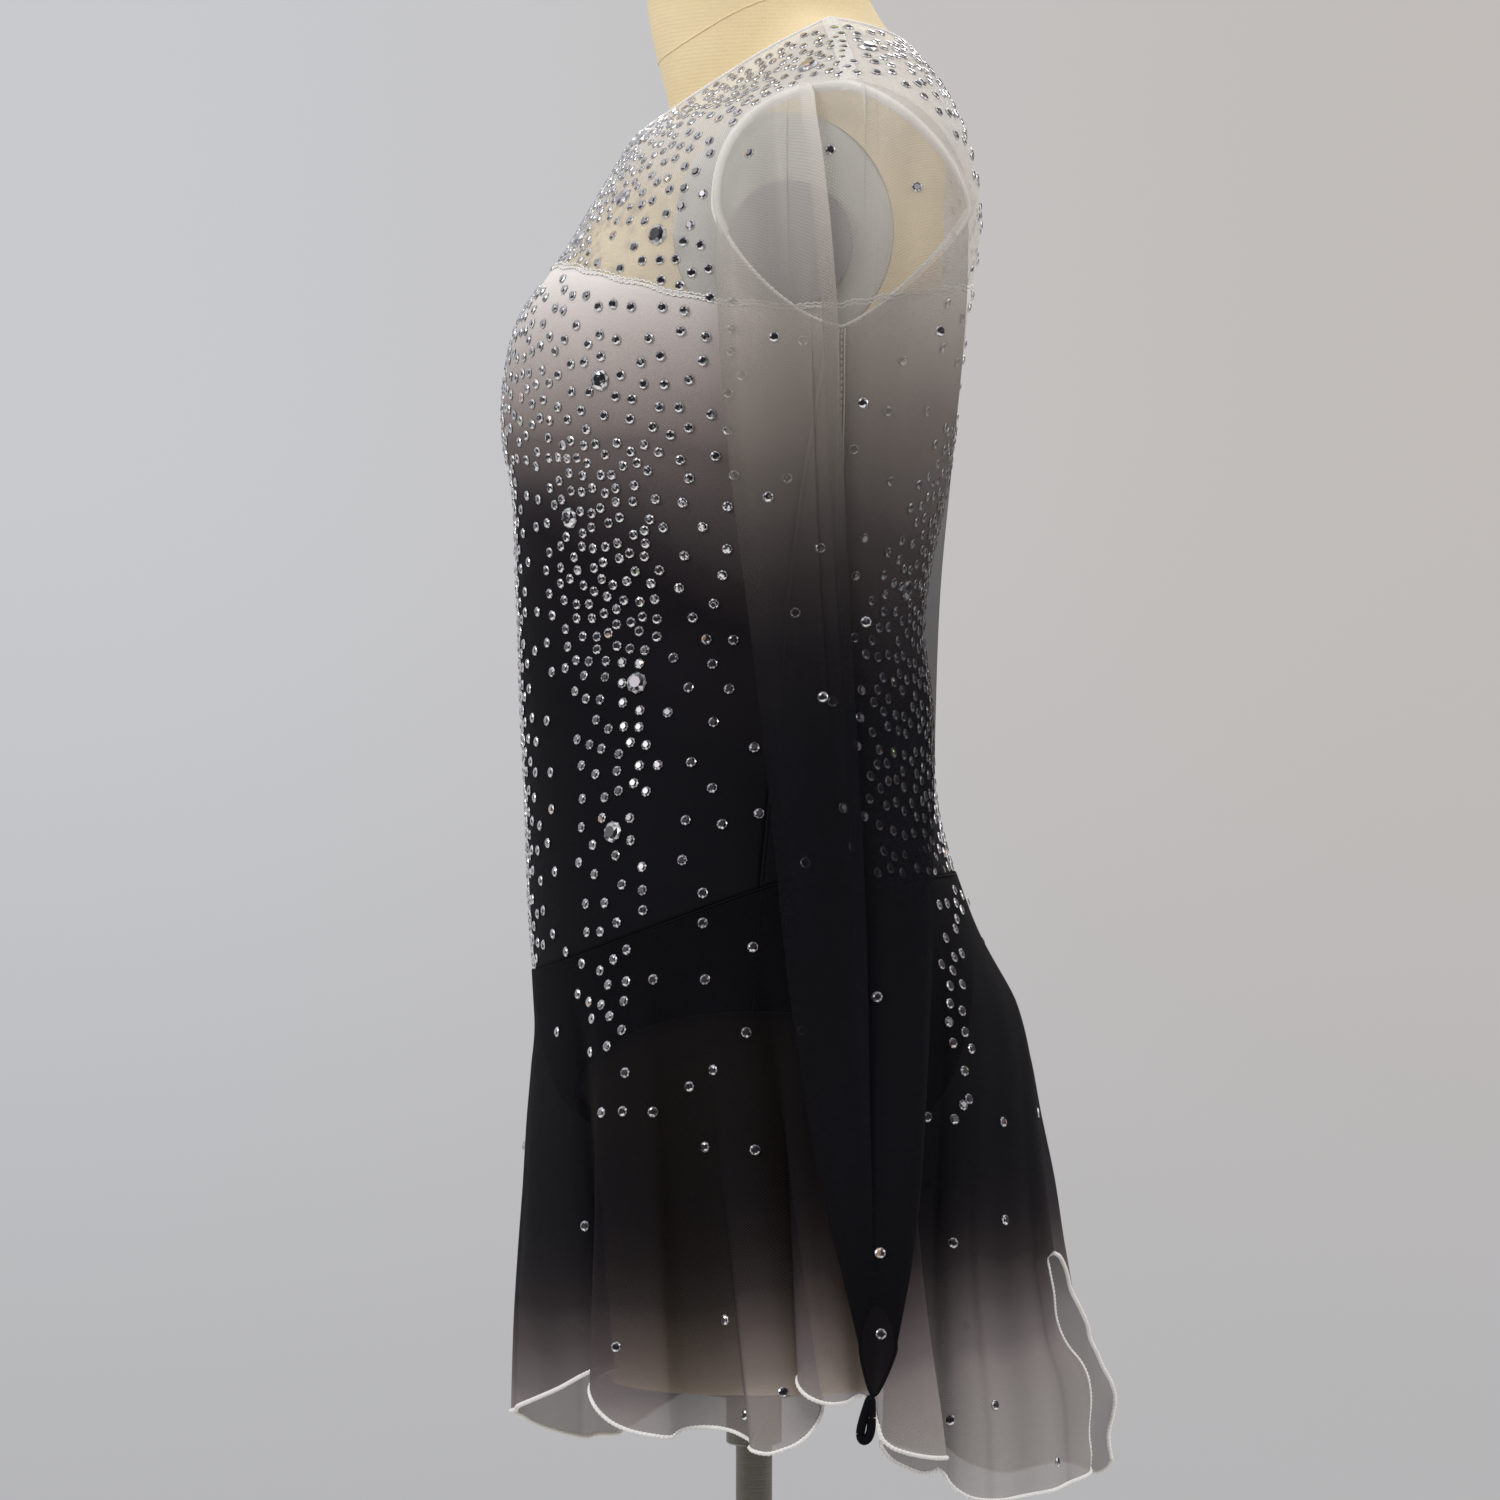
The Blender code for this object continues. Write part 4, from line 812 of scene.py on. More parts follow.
dyed_stretch = Finish("dip-dyed stretch cloth", Roughness=0.75, Specular_IOR_Level=0.06)
_, dyed_y, dyed_z = dyed_stretch.place.axes()
dyed_uneven = dyed_stretch.place.noise(18.0, 2.0) * 0.012 - 0.006
dyed_line = dyed_z + dyed_y * (0.50 - dyed_z.between(1.125, 1.185) * 0.47) + dyed_uneven
dyed_stretch.draw("Base Color", dyed_line.shade((
    (0.990, (0.0036, 0.0032, 0.0050)), (1.062, (0.0090, 0.0076, 0.0100)), (1.085, (0.028, 0.0225, 0.0255)),
    (1.110, (0.076, 0.064, 0.065)), (1.131, (0.118, 0.099, 0.097)), (1.150, (0.135, 0.114, 0.110)),
    (1.164, (0.205, 0.176, 0.169)), (1.183, (0.275, 0.240, 0.231)), (1.210, (0.445, 0.400, 0.386)),
    (1.235, (0.630, 0.585, 0.567)), (1.250, (0.780, 0.735, 0.715)))))
dyed_ribs = dyed_stretch.weave(*CLOTH_THREADS)
dyed_stretch.relief(dyed_ribs * 0.3 + dyed_stretch.place.noise(420.0, 2.0), 0.00018)


def drag_lines(points):
    """Points moved out to faint slanting ridges, where the cloth is pulled at the waist and hips."""
    draw = np.random.default_rng(7)
    angle = np.degrees(np.arctan2(points[..., 0], -(points[..., 1] - WAIST_Y)))
    lift = np.zeros(points.shape[:-1])
    for _ in range(DRAG_LINES):
        at_angle, at_z = draw.uniform(-180, 180), draw.choice(DRAG_HEIGHTS) + draw.normal(0, 0.022)
        slant, long, wide = draw.uniform(-0.35, 0.35), draw.uniform(0.03, 0.07), draw.uniform(0.0035, 0.0075)
        across = np.radians(from_front(angle - at_angle)) * WAIST_RADIUS
        fall = points[..., 2] - at_z - slant * across
        lift += draw.uniform(0.0004, 0.0010) * np.exp(-(across / long) ** 2 - (fall / wide) ** 2)
    outward = np.stack((np.sin(np.radians(angle)), -np.cos(np.radians(angle)), np.zeros(angle.shape)), -1)
    return points + outward * lift[..., None]


for back, name in PANELS:
    angles = panel_angles(back, 116)
    rows = drag_lines(body_rows(angles, top_seam(angles) - SEAM_GAP, hip_seam(angles) + SEAM_GAP, 96))
    bodice = cloth("bodice_" + name + "_cloth", rows, dyed_stretch.material, armholes=True)
    thicken(bodice)
    hold(bodice, "dyed_stretch_cloth", "bodice_" + name)


# Yoke. Sheer white stretch mesh from the bust seam to the round neckline, joined at the shoulders. Its
# neckline is bound in white, and the joins are covered by a flat white band.
sheer_white = Finish("sheer white mesh", Roughness=0.7, Specular_IOR_Level=0.25, Sheen_Weight=0.2)
sheer_net = sheer_white.weave(*MESH_THREADS)
sheer_white.mottle(50.0, 3.0, (0.70, 0.68, 0.66), (0.80, 0.78, 0.76))
sheer_height = sheer_white.place.axes()[2].between(1.265, 1.335)
sheer_white.draw(
    "Alpha", sheer_net * 0.10 + sheer_white.place.noise(25.0, 3.0) * 0.12 + sheer_height * 0.36 + 0.28)
sheer_white.relief(sheer_net, 0.00012)

for back, name in PANELS:
    angles = panel_angles(back, 130)
    rows = body_rows(angles, neckline(angles), top_seam(angles) + SEAM_GAP, 64)
    yoke = cloth("yoke_" + name + "_mesh", rows, sheer_white.material, armholes=True)
    hold(yoke, "sheer_white_mesh", "yoke_" + name)

white_thread = Finish("white thread and binding", Roughness=0.65, Specular_IOR_Level=0.3, Sheen_Weight=0.2)
white_thread.mottle(220.0, 3.0, (0.76, 0.745, 0.73), (0.88, 0.865, 0.85))
white_thread.relief(white_thread.place.noise(1600.0, 2.0), 0.0003)

round_neck = np.linspace(0, 360, 720)
neck_edge = evenly(dress_surface(round_neck, neckline(round_neck)), 0.0006)[:-1]
hold(cord("neck_binding", neck_edge, 0.0008, white_thread.material, ripple=(0.0024, 0.00015)),
     "white_binding")


STITCH_RADIUS = 0.0004


def stitches(name, path, outward, material, length, gap, sway):
    """A row of stitches along a path: short rounded threads, swaying to either side of it where asked."""
    gone = gone_along(path)
    count = int(gone[-1] / (length + gap))
    starts = (np.arange(count) + 0.1) * (length + gap)
    first, last = read_at(starts, gone, path), read_at(starts + length, gone, path)
    out = read_at(starts, gone, outward)
    across = np.cross(out, unit(last - first))
    swing = np.where(np.arange(count) % 2, 1.0, -1.0)[:, None] * sway
    first, last = first - across * swing, last + across * swing
    across = np.cross(out, unit(last - first))
    rings = []
    for share, thick in ((-0.04, 0.35), (0.12, 1.0), (0.88, 1.0), (1.04, 0.35)):
        middle = first + (last - first) * share
        for turn in np.radians((0, 90, 180, 270)):
            rings.append(middle + STITCH_RADIUS * thick * (across * np.cos(turn) + out * np.sin(turn)))
    points = np.stack(rings, 1).reshape(-1, 3)
    pattern = [(3, 2, 1, 0), (12, 13, 14, 15)]
    pattern += [(4 * i + j, 4 * i + (j + 1) % 4, 4 * i + 4 + (j + 1) % 4, 4 * i + 4 + j)
                for i in range(3) for j in range(4)]
    faces = (np.array(pattern)[None] + np.arange(count)[:, None, None] * 16).reshape(-1, 4)
    return add_piece(name, points, faces, material)


def outward_at(angle, z):
    """The way out of the body of the dress at a place on it."""
    ahead = dress_surface(angle + 0.5, z) - dress_surface(angle - 0.5, z)
    up = dress_surface(angle, z + 0.001) - dress_surface(angle, z - 0.001)
    return unit(np.cross(ahead, up))


def off_dress(angle, z, lift):
    """Places that far out of the body of the dress."""
    return dress_surface(angle, z) + outward_at(angle, z) * lift


SEAM_WAVE = 0.0006
SEAM_WAVES = 34
seam_angles = np.linspace(-180, 180, 900)
for rise, row in ((0.0010, "upper"), (-0.0010, "lower")):
    heights = top_seam(seam_angles) + rise + SEAM_WAVE * np.sin(np.radians(seam_angles * SEAM_WAVES))
    stitched = stitches(
        "bust_seam_stitches_" + row, off_dress(seam_angles, heights, 0.0008),
        outward_at(seam_angles, heights), white_thread.material, length=0.0019, gap=0.0001, sway=0.0004)
    hold(stitched, "white_binding")
seam_path = evenly(off_dress(seam_angles, top_seam(seam_angles), 0.0001), 0.003)[:-1]
hold(cord("bust_seam_edge", seam_path, 0.0005, white_thread.material), "white_binding")
side_top = min(top_seam(90.0), ARMHOLE_Z - ARMHOLE_HALF_HEIGHT) - 0.002
side_heights = np.linspace(side_top, hip_seam(90.0) + 0.001, 200)
for side, side_name in SIDES:
    joined = cord("bodice_side_seam_" + side_name, off_dress(np.full(200, 90.0 * side), side_heights, 0.0002),
                  0.0009, dyed_stretch.material, sides=8, closed=False)
    hold(joined, "dyed_stretch_cloth")


def tape(name, path, outward, width, material):
    """A flat band along a path, highest along its middle."""
    across = np.cross(outward, unit(np.gradient(path, axis=0)))
    rows = [path + across * width * share + outward * rise
            for share, rise in ((-0.5, 0.0), (-0.42, 0.0006), (0, 0.0010), (0.42, 0.0006), (0.5, 0.0))]
    return cloth(name, np.stack(rows), material)


SHOULDER_TAPE_WIDTH = 0.0086
seam_tape = Finish("folded mesh tape", Roughness=0.7, Specular_IOR_Level=0.2)
tape_weave = seam_tape.place.noise(700.0, 2.0)
seam_tape.draw("Base Color", tape_weave.mixed((0.78, 0.76, 0.73), (0.88, 0.865, 0.84)))
seam_tape.draw("Alpha", tape_weave * 0.2 + 0.52)
seam_tape.relief(tape_weave, 0.0002)
shoulder_heights = np.linspace(NECKLINE_SHOULDER - 0.0015, ARMHOLE_Z + ARMHOLE_HALF_HEIGHT - 0.003, 60)
for side, side_name in SIDES:
    along = np.full(60, 90.0 * side)
    shoulder = tape("shoulder_tape_" + side_name, dress_surface(along, shoulder_heights),
                    outward_at(along, shoulder_heights), SHOULDER_TAPE_WIDTH, seam_tape.material)
    hold(shoulder, "white_binding")


# Armhole seams. The sleeves are joined to the body by a narrow bound seam in white, fuller at its top than
# under the arm, with a flat band of folded mesh over it.
BINDING_BY_HEIGHT = ((1.225, 0.0009), (1.275, 0.0011), (1.310, 0.0018), (1.335, 0.0022))
ARMHOLE_TAPE_WIDTH = 0.0052
ARMHOLE_TAPE_TURNS = (-104, 104)
for side, side_name in SIDES:
    ring = evenly(armhole_place(np.linspace(0, 360, 361))[0] * (side, 1, 1), 0.0008)[:-1]
    plump = np.interp(ring[:, 2], *zip(*BINDING_BY_HEIGHT))
    binding = cord("armhole_seam_" + side_name, ring, plump, white_thread.material, sides=8,
                   ripple=(0.0030, 0.0002))
    hold(binding, "white_binding", "armhole_binding_" + side_name)
    ring, outward = armhole_place(np.linspace(*ARMHOLE_TAPE_TURNS, 160) % 360)
    band = tape("armhole_tape_" + side_name, (ring + outward * 0.0012) * (side, 1, 1), outward * (side, 1, 1),
                ARMHOLE_TAPE_WIDTH, seam_tape.material)
    hold(band, "white_binding")


# Sleeves. Long sleeves of sheer stretch mesh, dip-dyed from white through taupe to black, each with a seam
# under the arm and a pointed hand cover. They hang empty, so long folds run down them.
# Each ring: its outer and inner edge as x and z, then its front and back.
SLEEVE = (
    (0.1730, 1.3400, 0.1615, 1.2135, -0.0185, 0.1090), (0.1905, 1.3210, 0.1650, 1.2010, -0.0183, 0.1085),
    (0.2000, 1.2800, 0.1675, 1.1830, -0.0175, 0.1075), (0.2030, 1.2250, 0.1690, 1.1600, -0.0155, 0.1045),
    (0.2035, 1.1600, 0.1705, 1.1250, -0.0110, 0.0995), (0.2030, 1.0900, 0.1725, 1.0750, -0.0035, 0.0940),
    (0.2030, 1.0200, 0.1755, 1.0150, 0.0045, 0.0915), (0.2050, 0.9550, 0.1800, 0.9550, 0.0110, 0.0905),
    (0.2115, 0.8950, 0.1890, 0.8950, 0.0170, 0.0893), (0.2220, 0.8400, 0.2005, 0.8400, 0.0245, 0.0865),
    (0.2345, 0.7900, 0.2145, 0.7900, 0.0335, 0.0830), (0.2470, 0.7450, 0.2280, 0.7560, 0.0430, 0.0778),
    (0.2585, 0.6915, 0.2400, 0.7330, 0.0525, 0.0700),
)
# How many rings a pleat and a soft fold take to rise and to fade
PLEAT_RISE, PLEAT_FADE = 2.4, 4.0
FOLD_RISE, FOLD_FADE = 1.2, 2.0
SLEEVE_STANDS_OFF = 0.0046
# The seam under the arm: the turns of its two threads, and its first and last ring
UNDER_ARM_TURNS = (178.6, 181.4)
UNDER_ARM_RINGS = (0.15, 12.5)
HAND_COVER_POINT = 0.50
HAND_COVER_LEAN = 0.0048
# Soft folds: the turn they run along at their first, middle and last ring, depth, width, first and last ring
SOFT_FOLDS = (
    (-30, -26, -22, 0.0022, 5.0, 0.6, 4.5), (-19, -16, -13, 0.0020, 4.0, 0.4, 5.0),
    (22, 20, 16, 0.0024, 8.0, 1.0, 7.0), (45, 40, 36, 0.0030, 11.0, 1.5, 9.0),
    (-55, -48, -40, 0.0026, 10.0, 2.0, 9.5), (68, 60, 62, 0.0022, 9.0, 3.5, 11.0),
    (150, 158, 165, 0.0026, 12.0, 1.5, 9.0), (200, 205, 214, 0.0026, 12.0, 2.5, 10.0),
    (120, 124, 130, 0.0020, 9.0, 2.0, 8.0), (240, 236, 230, 0.0022, 10.0, 1.5, 8.0),
)
# Pleats lie over themselves. Each: the rings and turns it runs through, its width, how far it is drawn over,
# its depth, and its first and last ring. The first runs the whole length of the outer side.
PLEATS = (
    (((0, -19.0), (2, -15.0), (4, -6.0), (6, -1.0), (8, 2.0), (10, 2.0), (12, 0.0)),
     6.0, 9.0, 0.0028, -0.9, 12.6),
    (((0, -27.5), (3, -25.0)), 1.8, 2.6, 0.0010, 0.2, 4.6),
    (((0, 9.0), (2, 10.0)), 1.8, 2.6, 0.0010, -0.8, 4.4),
    (((3, -17.0), (8, -12.0)), 1.6, 2.2, 0.0008, 2.6, 9.5),
)


def eased(share):
    share = np.clip(share, 0, 1)
    return share * share * (3 - 2 * share)


def sleeve_folds(turns, t):
    """Where the pleats draw each turn of the sleeve to, and how far its folds stand out there."""
    moved, push = turns, 0.0
    for path, width, drawn, depth, first, last in PLEATS:
        u = from_front(turns - np.interp(t, *np.array(path).T)) / width
        strength = eased((t - first) / PLEAT_RISE) * eased((last - t) / PLEAT_FADE)
        moved = moved - strength * drawn * u * np.exp(-u * u) * 2.0
        push = push - depth * strength * np.tanh(u * 2.0) * np.exp(-(u * 0.6) ** 2)
    for start, middle, end, depth, width, first, last in SOFT_FOLDS:
        run = np.interp(t, (first, (first + last) / 2, last), (start, middle, end))
        away = from_front(turns - run) / width
        strength = depth * eased((t - first) / FOLD_RISE) * eased((last - t) / FOLD_FADE)
        push = push + strength * np.exp(-away * away)
    return moved, push


def sleeve_rows(turns, t):
    """Points of the left sleeve: t is 0 at the armhole and counts the rings after it."""
    turns, t = turns[None, :], t[:, None]
    moved, push = sleeve_folds(turns, t)
    place, outward = armhole_place(moved % 360)
    keys = [place + outward * SLEEVE_STANDS_OFF]
    cosine, sine = np.cos(np.radians(moved)), np.sin(np.radians(moved))
    for number, (outer_x, outer_z, inner_x, inner_z, front, back) in enumerate(SLEEVE):
        # The last two rings are drawn in to the point of the hand cover.
        point = HAND_COVER_POINT * max(0, number - len(SLEEVE) + 3) / 2 * np.maximum(cosine, 0)
        keys.append(np.stack((
            (outer_x + inner_x) / 2 + (outer_x - inner_x) / 2 * cosine,
            (front + back) / 2 - HAND_COVER_LEAN * point + (back - front) / 2 * sine * (1 - point),
            (outer_z + inner_z) / 2 + (outer_z - inner_z) / 2 * cosine), -1))
    keys = np.stack(keys)
    ends = with_ends(keys)
    first = np.minimum(t[:, 0].astype(int), len(keys) - 2)
    before, a, b, after = (ends[first + i, np.arange(len(first))] for i in range(4))
    points = bend(a, b, (b - before) / 2, (after - a) / 2, (t[:, 0] - first)[:, None, None])
    # Outer folds stand out along X and those at the front and back along Y.
    points[..., 0] += push * cosine
    points[..., 1] += push * sine
    return points


# Painted shade and light in the folds of the dyed mesh: its colour is darkened in their hollows and lifted on
# their ridges.
FOLD_SHADE = 0.16
FOLD_CONTRAST = 0.24
FOLD_DYE = 0.0045
SLEEVE_FOLD_DEPTH = 0.0026


def dyed_mesh(name, colours, opacities, line_of):
    """Sheer stretch mesh, dyed by height: stops of (height, colour) and of (height, how dense). Its colour
    carries painted shade in the hollows of its folds and painted light on their ridges."""
    made = Finish(name, Roughness=0.8, Specular_IOR_Level=0.05)
    _, y, z = made.place.axes()
    stands_out = made.stored("folds", "Fac")
    line = line_of(y, z) + made.place.noise(22.0, 2.0) * 0.012 - 0.006 - stands_out * FOLD_DYE
    # The shade of a level part of the cloth is taken off its colours beforehand.
    level = 1 - FOLD_SHADE
    dyed = line.shade([(place, tuple(value / level for value in colour)) for place, colour in colours])
    # Painted fold shade: darker in the hollows, lighter on the ridges.
    made.draw("Base Color", (FOLD_SHADE - stands_out * FOLD_CONTRAST).mixed(dyed, (0, 0, 0)))
    net = made.weave(*MESH_THREADS)
    made.draw("Alpha", line.shade([(place, (value,) * 3) for place, value in opacities]) + net * 0.05)
    made.relief(net, 0.00012)
    return made


sleeve_mesh = dyed_mesh("dip-dyed sleeve mesh", (
    (0.700, (0.0040, 0.0038, 0.0055)), (1.000, (0.0065, 0.0062, 0.0085)), (1.050, (0.012, 0.011, 0.0130)),
    (1.085, (0.030, 0.026, 0.027)), (1.115, (0.070, 0.061, 0.058)), (1.150, (0.145, 0.128, 0.116)),
    (1.200, (0.285, 0.257, 0.232)), (1.260, (0.500, 0.466, 0.424)), (1.330, (0.680, 0.655, 0.615)),
), ((0.700, 0.96), (0.800, 0.95), (0.880, 0.80), (0.960, 0.60), (1.060, 0.56), (1.160, 0.50), (1.240, 0.44),
    (1.330, 0.42)),
    lambda y, z: z - (y - 0.02) * 0.32)
dyed_thread = Finish("dip-dyed thread", Roughness=0.7, Specular_IOR_Level=0.1)
thread_z = dyed_thread.place.axes()[2] + dyed_thread.place.noise(60.0) * 0.01 - 0.005
dyed_thread.draw("Base Color", thread_z.shade((
    (1.06, (0.008, 0.008, 0.010)), (1.10, (0.16, 0.15, 0.14)), (1.18, (0.55, 0.52, 0.48)),
    (1.30, (0.85, 0.83, 0.80)))))
dyed_thread.relief(dyed_thread.place.noise(1600.0, 2.0), 0.0003)
sleeve_turns = np.concatenate((
    np.linspace(-180, -34, 56, endpoint=False), np.linspace(-34, 16, 84, endpoint=False),
    np.linspace(16, 180, 63, endpoint=False)))
down_sleeve = np.linspace(0, len(SLEEVE), 210)
for side, side_name in SIDES:
    # The right sleeve's rows run the other way, so that its outside stays outside.
    rows = sleeve_rows(sleeve_turns, down_sleeve)[:, ::side] * (side, 1, 1)
    stands_out = sleeve_folds(sleeve_turns[None, :], down_sleeve[:, None])[1] / SLEEVE_FOLD_DEPTH
    folds = np.clip(stands_out, -1, 1)[:, ::side]
    sleeve = cloth("sleeve_" + side_name + "_mesh", rows, sleeve_mesh.material, closed=True, folds=folds)
    hold(sleeve, "dyed_sleeve_mesh", "sleeve_" + side_name + "_upper", "sleeve_" + side_name + "_lower")
    cuff = sleeve_rows(np.linspace(-180, 180, 361), down_sleeve[-1:])[0] * (side, 1, 1)
    hold(cord("cuff_edge_" + side_name, evenly(cuff, 0.0010)[:-1], 0.0009, black_stretch.material),
         "black_stretch_cloth")
    under_arm = sleeve_rows(np.array(UNDER_ARM_TURNS), np.linspace(*UNDER_ARM_RINGS, 500)) * (side, 1, 1)
    for number, line in enumerate(under_arm.transpose(1, 0, 2)):
        thread = cord("sleeve_seam_%s_%d" % (side_name, number + 1), evenly(line, 0.0020), 0.0004,
                      dyed_thread.material, sides=5, closed=False)
        hold(thread, "dyed_sleeve_mesh")
    line = evenly(under_arm.mean(1), 0.0020)
    facing = np.tile((side * 1.0, 0.0, 0.0), (len(line), 1))
    stitched = stitches("sleeve_seam_stitches_" + side_name, line, facing, dyed_thread.material,
                        length=0.0022, gap=0.0012, sway=0.0)
    hold(stitched, "dyed_sleeve_mesh")


# Finger loops. A drop of black stretch cord hangs under the point of each hand cover, sewn on by its narrow
# end. It goes round a finger and keeps the cover down.
LOOP_HALF_WIDTH = 0.0037
LOOP_LENGTH = 0.0245
LOOP_CORD_RADIUS = 0.0023
LOOP_Y = 0.0572
LOOP_LEAN = 0.0030
LOOP_HANGS_UNDER = 0.0019
hand_x, hand_z = SLEEVE[-1][:2]
turns = np.linspace(0, 2 * np.pi, 96, endpoint=False)
fall = (1 - np.cos(turns)) / 2
full = 0.30 + 0.70 * fall ** 1.5
for side, side_name in SIDES:
    loop = np.stack((
        np.full(96, side * hand_x), LOOP_Y - LOOP_LEAN * fall + LOOP_HALF_WIDTH * full * np.sin(turns),
        hand_z - LOOP_HANGS_UNDER - (LOOP_LENGTH - 2 * LOOP_CORD_RADIUS) * fall), -1)
    finger_loop = cord(
        "finger_loop_" + side_name + "_cord", loop, LOOP_CORD_RADIUS, black_stretch.material, sides=10)
    hold(finger_loop, "black_stretch_cloth", "finger_loop_" + side_name)


# Skirt. A flared skirt of the same mesh in three panels, dip-dyed from black to near white, set into the hip
# seam and open at the lower end of its centre back seam. Its edge is a narrow white rolled hem.
SKIRT = (
    (0.9450, -0.1210, 0.0050, 0.1085, 0.1570, 2.2, 2.2), (0.9250, -0.1208, 0.0040, 0.1178, 0.1640, 2.2, 2.2),
    (0.9050, -0.1198, 0.0040, 0.1255, 0.1695, 2.2, 2.2), (0.8850, -0.1182, 0.0050, 0.1328, 0.1750, 2.2, 2.2),
    (0.8600, -0.1168, 0.0060, 0.1410, 0.1815, 2.2, 2.15), (0.8350, -0.1174, 0.0080, 0.1465, 0.1880, 2.2, 2.1),
    (0.8050, -0.1190, 0.0100, 0.1510, 0.1950, 2.15, 2.1),
    (0.7700, -0.1200, 0.0120, 0.1580, 0.2030, 2.1, 2.05),
    (0.7350, -0.1215, 0.0140, 0.1640, 0.2105, 2.1, 2.0), (0.7000, -0.1225, 0.0160, 0.1710, 0.2180, 2.1, 2.0),
    (0.6650, -0.1225, 0.0180, 0.1790, 0.2250, 2.1, 2.0), (0.6200, -0.1220, 0.0200, 0.1855, 0.2330, 2.1, 2.0),
)
# The hem from the centre front round to the slit at the centre back, as it shows in the picture: across and
# down in its pixels, and how far it lies out along X. Where it turns back on itself, a fold lies over its
# neighbour.
HEM_LEFT = (
    (514, 1411, 0.000), (513, 1410, 0.030), (522, 1405, 0.075), (540, 1396, 0.108), (560, 1387, 0.130),
    (580, 1377, 0.143), (598, 1369, 0.148), (612, 1366, 0.146), (616, 1368, 0.150), (606, 1371, 0.160),
    (595, 1377, 0.172), (590, 1388, 0.180), (594, 1401, 0.186), (602, 1413, 0.190), (614, 1424, 0.194),
    (632, 1432, 0.198), (655, 1436, 0.200), (672, 1437, 0.199), (679, 1432, 0.194), (690, 1428, 0.188),
    (710, 1427, 0.188), (728, 1430, 0.194), (742, 1436, 0.201), (752, 1443, 0.207), (749, 1448, 0.212),
    (755, 1452, 0.217), (768, 1454, 0.219), (783, 1450, 0.219), (797, 1444, 0.217), (809, 1434, 0.212),
    (818, 1421, 0.206), (822, 1408, 0.201), (820, 1392, 0.198), (812, 1380, 0.199), (803, 1374, 0.205),
    (798, 1378, 0.212), (799, 1387, 0.217), (807, 1396, 0.220), (820, 1402, 0.221), (833, 1404, 0.218),
    (847, 1402, 0.213), (854, 1398, 0.208), (863, 1396, 0.206), (873, 1404, 0.208), (877, 1420, 0.211),
    (880, 1436, 0.213), (889, 1446, 0.213), (903, 1452, 0.212), (920, 1456, 0.208), (935, 1458, 0.203),
    (948, 1458, 0.196), (935, 1458, 0.188), (915, 1452, 0.182), (895, 1446, 0.178), (882, 1440, 0.176),
    (880, 1447, 0.170), (890, 1459, 0.168), (905, 1467, 0.168), (922, 1473, 0.168), (934, 1472, 0.168),
    (940, 1469, 0.168), (946, 1474, 0.172), (952, 1484, 0.174), (962, 1493, 0.174), (976, 1499, 0.172),
    (998, 1500, 0.163), (1020, 1497, 0.150), (1047, 1491, 0.128), (1068, 1484, 0.104), (1082, 1477, 0.080),
    (1088, 1472, 0.055), (1089, 1467, 0.035),
)
HEM_RIGHT = (
    (514, 1411, 0.000), (515, 1412, -0.035), (527, 1419, -0.070), (550, 1428, -0.098), (572, 1435, -0.122),
    (588, 1437, -0.140), (600, 1434, -0.146), (612, 1434, -0.158), (622, 1431, -0.172), (640, 1420, -0.183),
    (662, 1404, -0.186), (684, 1392, -0.194), (706, 1390, -0.208), (728, 1386, -0.214), (748, 1376, -0.208),
    (768, 1372, -0.206), (790, 1380, -0.216), (812, 1386, -0.224), (834, 1382, -0.220), (852, 1372, -0.208),
    (872, 1374, -0.202), (890, 1388, -0.206), (904, 1404, -0.206), (918, 1420, -0.200), (932, 1432, -0.190),
    (946, 1444, -0.182), (962, 1457, -0.174), (980, 1467, -0.164), (1000, 1472, -0.152), (1022, 1470, -0.138),
    (1044, 1464, -0.122), (1062, 1461, -0.106), (1076, 1464, -0.090), (1088, 1469, -0.074),
    (1099, 1472, -0.058), (1108, 1468, -0.044), (1112, 1460, -0.034),
)
# The two edges of the slit from its top to the hem, the same way. It hangs round to the wearer's left.
SLIT_LEFT = (
    (1054, 1253, 0.067), (1047, 1257, 0.066), (1049, 1271, 0.065), (1053, 1292, 0.062), (1055, 1314, 0.058),
    (1060, 1332, 0.055), (1068, 1347, 0.051), (1078, 1359, 0.048), (1085, 1371, 0.046), (1089, 1385, 0.044),
    (1090, 1402, 0.042), (1088, 1430, 0.038), (1090, 1452, 0.036), (1089, 1467, 0.035),
)
SLIT_RIGHT = (
    (1054, 1253, 0.067), (1060, 1257, 0.062), (1066, 1270, 0.053), (1071, 1290, 0.036), (1080, 1308, 0.020),
    (1087, 1324, 0.007), (1090, 1338, -0.003), (1097, 1353, -0.012), (1103, 1367, -0.018),
    (1111, 1382, -0.024), (1115, 1397, -0.029), (1113, 1415, -0.032), (1109, 1431, -0.033),
    (1109, 1444, -0.034), (1112, 1460, -0.034),
)
SLIT_SWING = 19.0
SKIRT_FOLD_WIDTH = 9.0
SKIRT_FOLD_DEPTH = 0.010
# Dark and light streaks painted down the skirt's folds as shade and light: the angle they run down, their
# width in degrees and how dark they are, below 0 for light ones
PAINTED_SKIRT_STREAKS = (
    (75.0, 0.5, 0.7), (62.5, 2.5, 0.5), (98.5, 2.6, -2.0), (141.0, 1.4, 1.0), (146.5, 0.7, 0.6),
    (165.0, 0.9, 0.5), (118.0, 3.0, -0.7), (-40.0, 1.5, 0.6), (-62.0, 2.5, 0.5), (-98.0, 2.6, -1.2),
    (-121.0, 1.4, 0.8), (-146.0, 0.8, 0.6), (-178.0, 9.0, -1.8),
)
FOLD_LIMITS = (-1.4, 2.0)
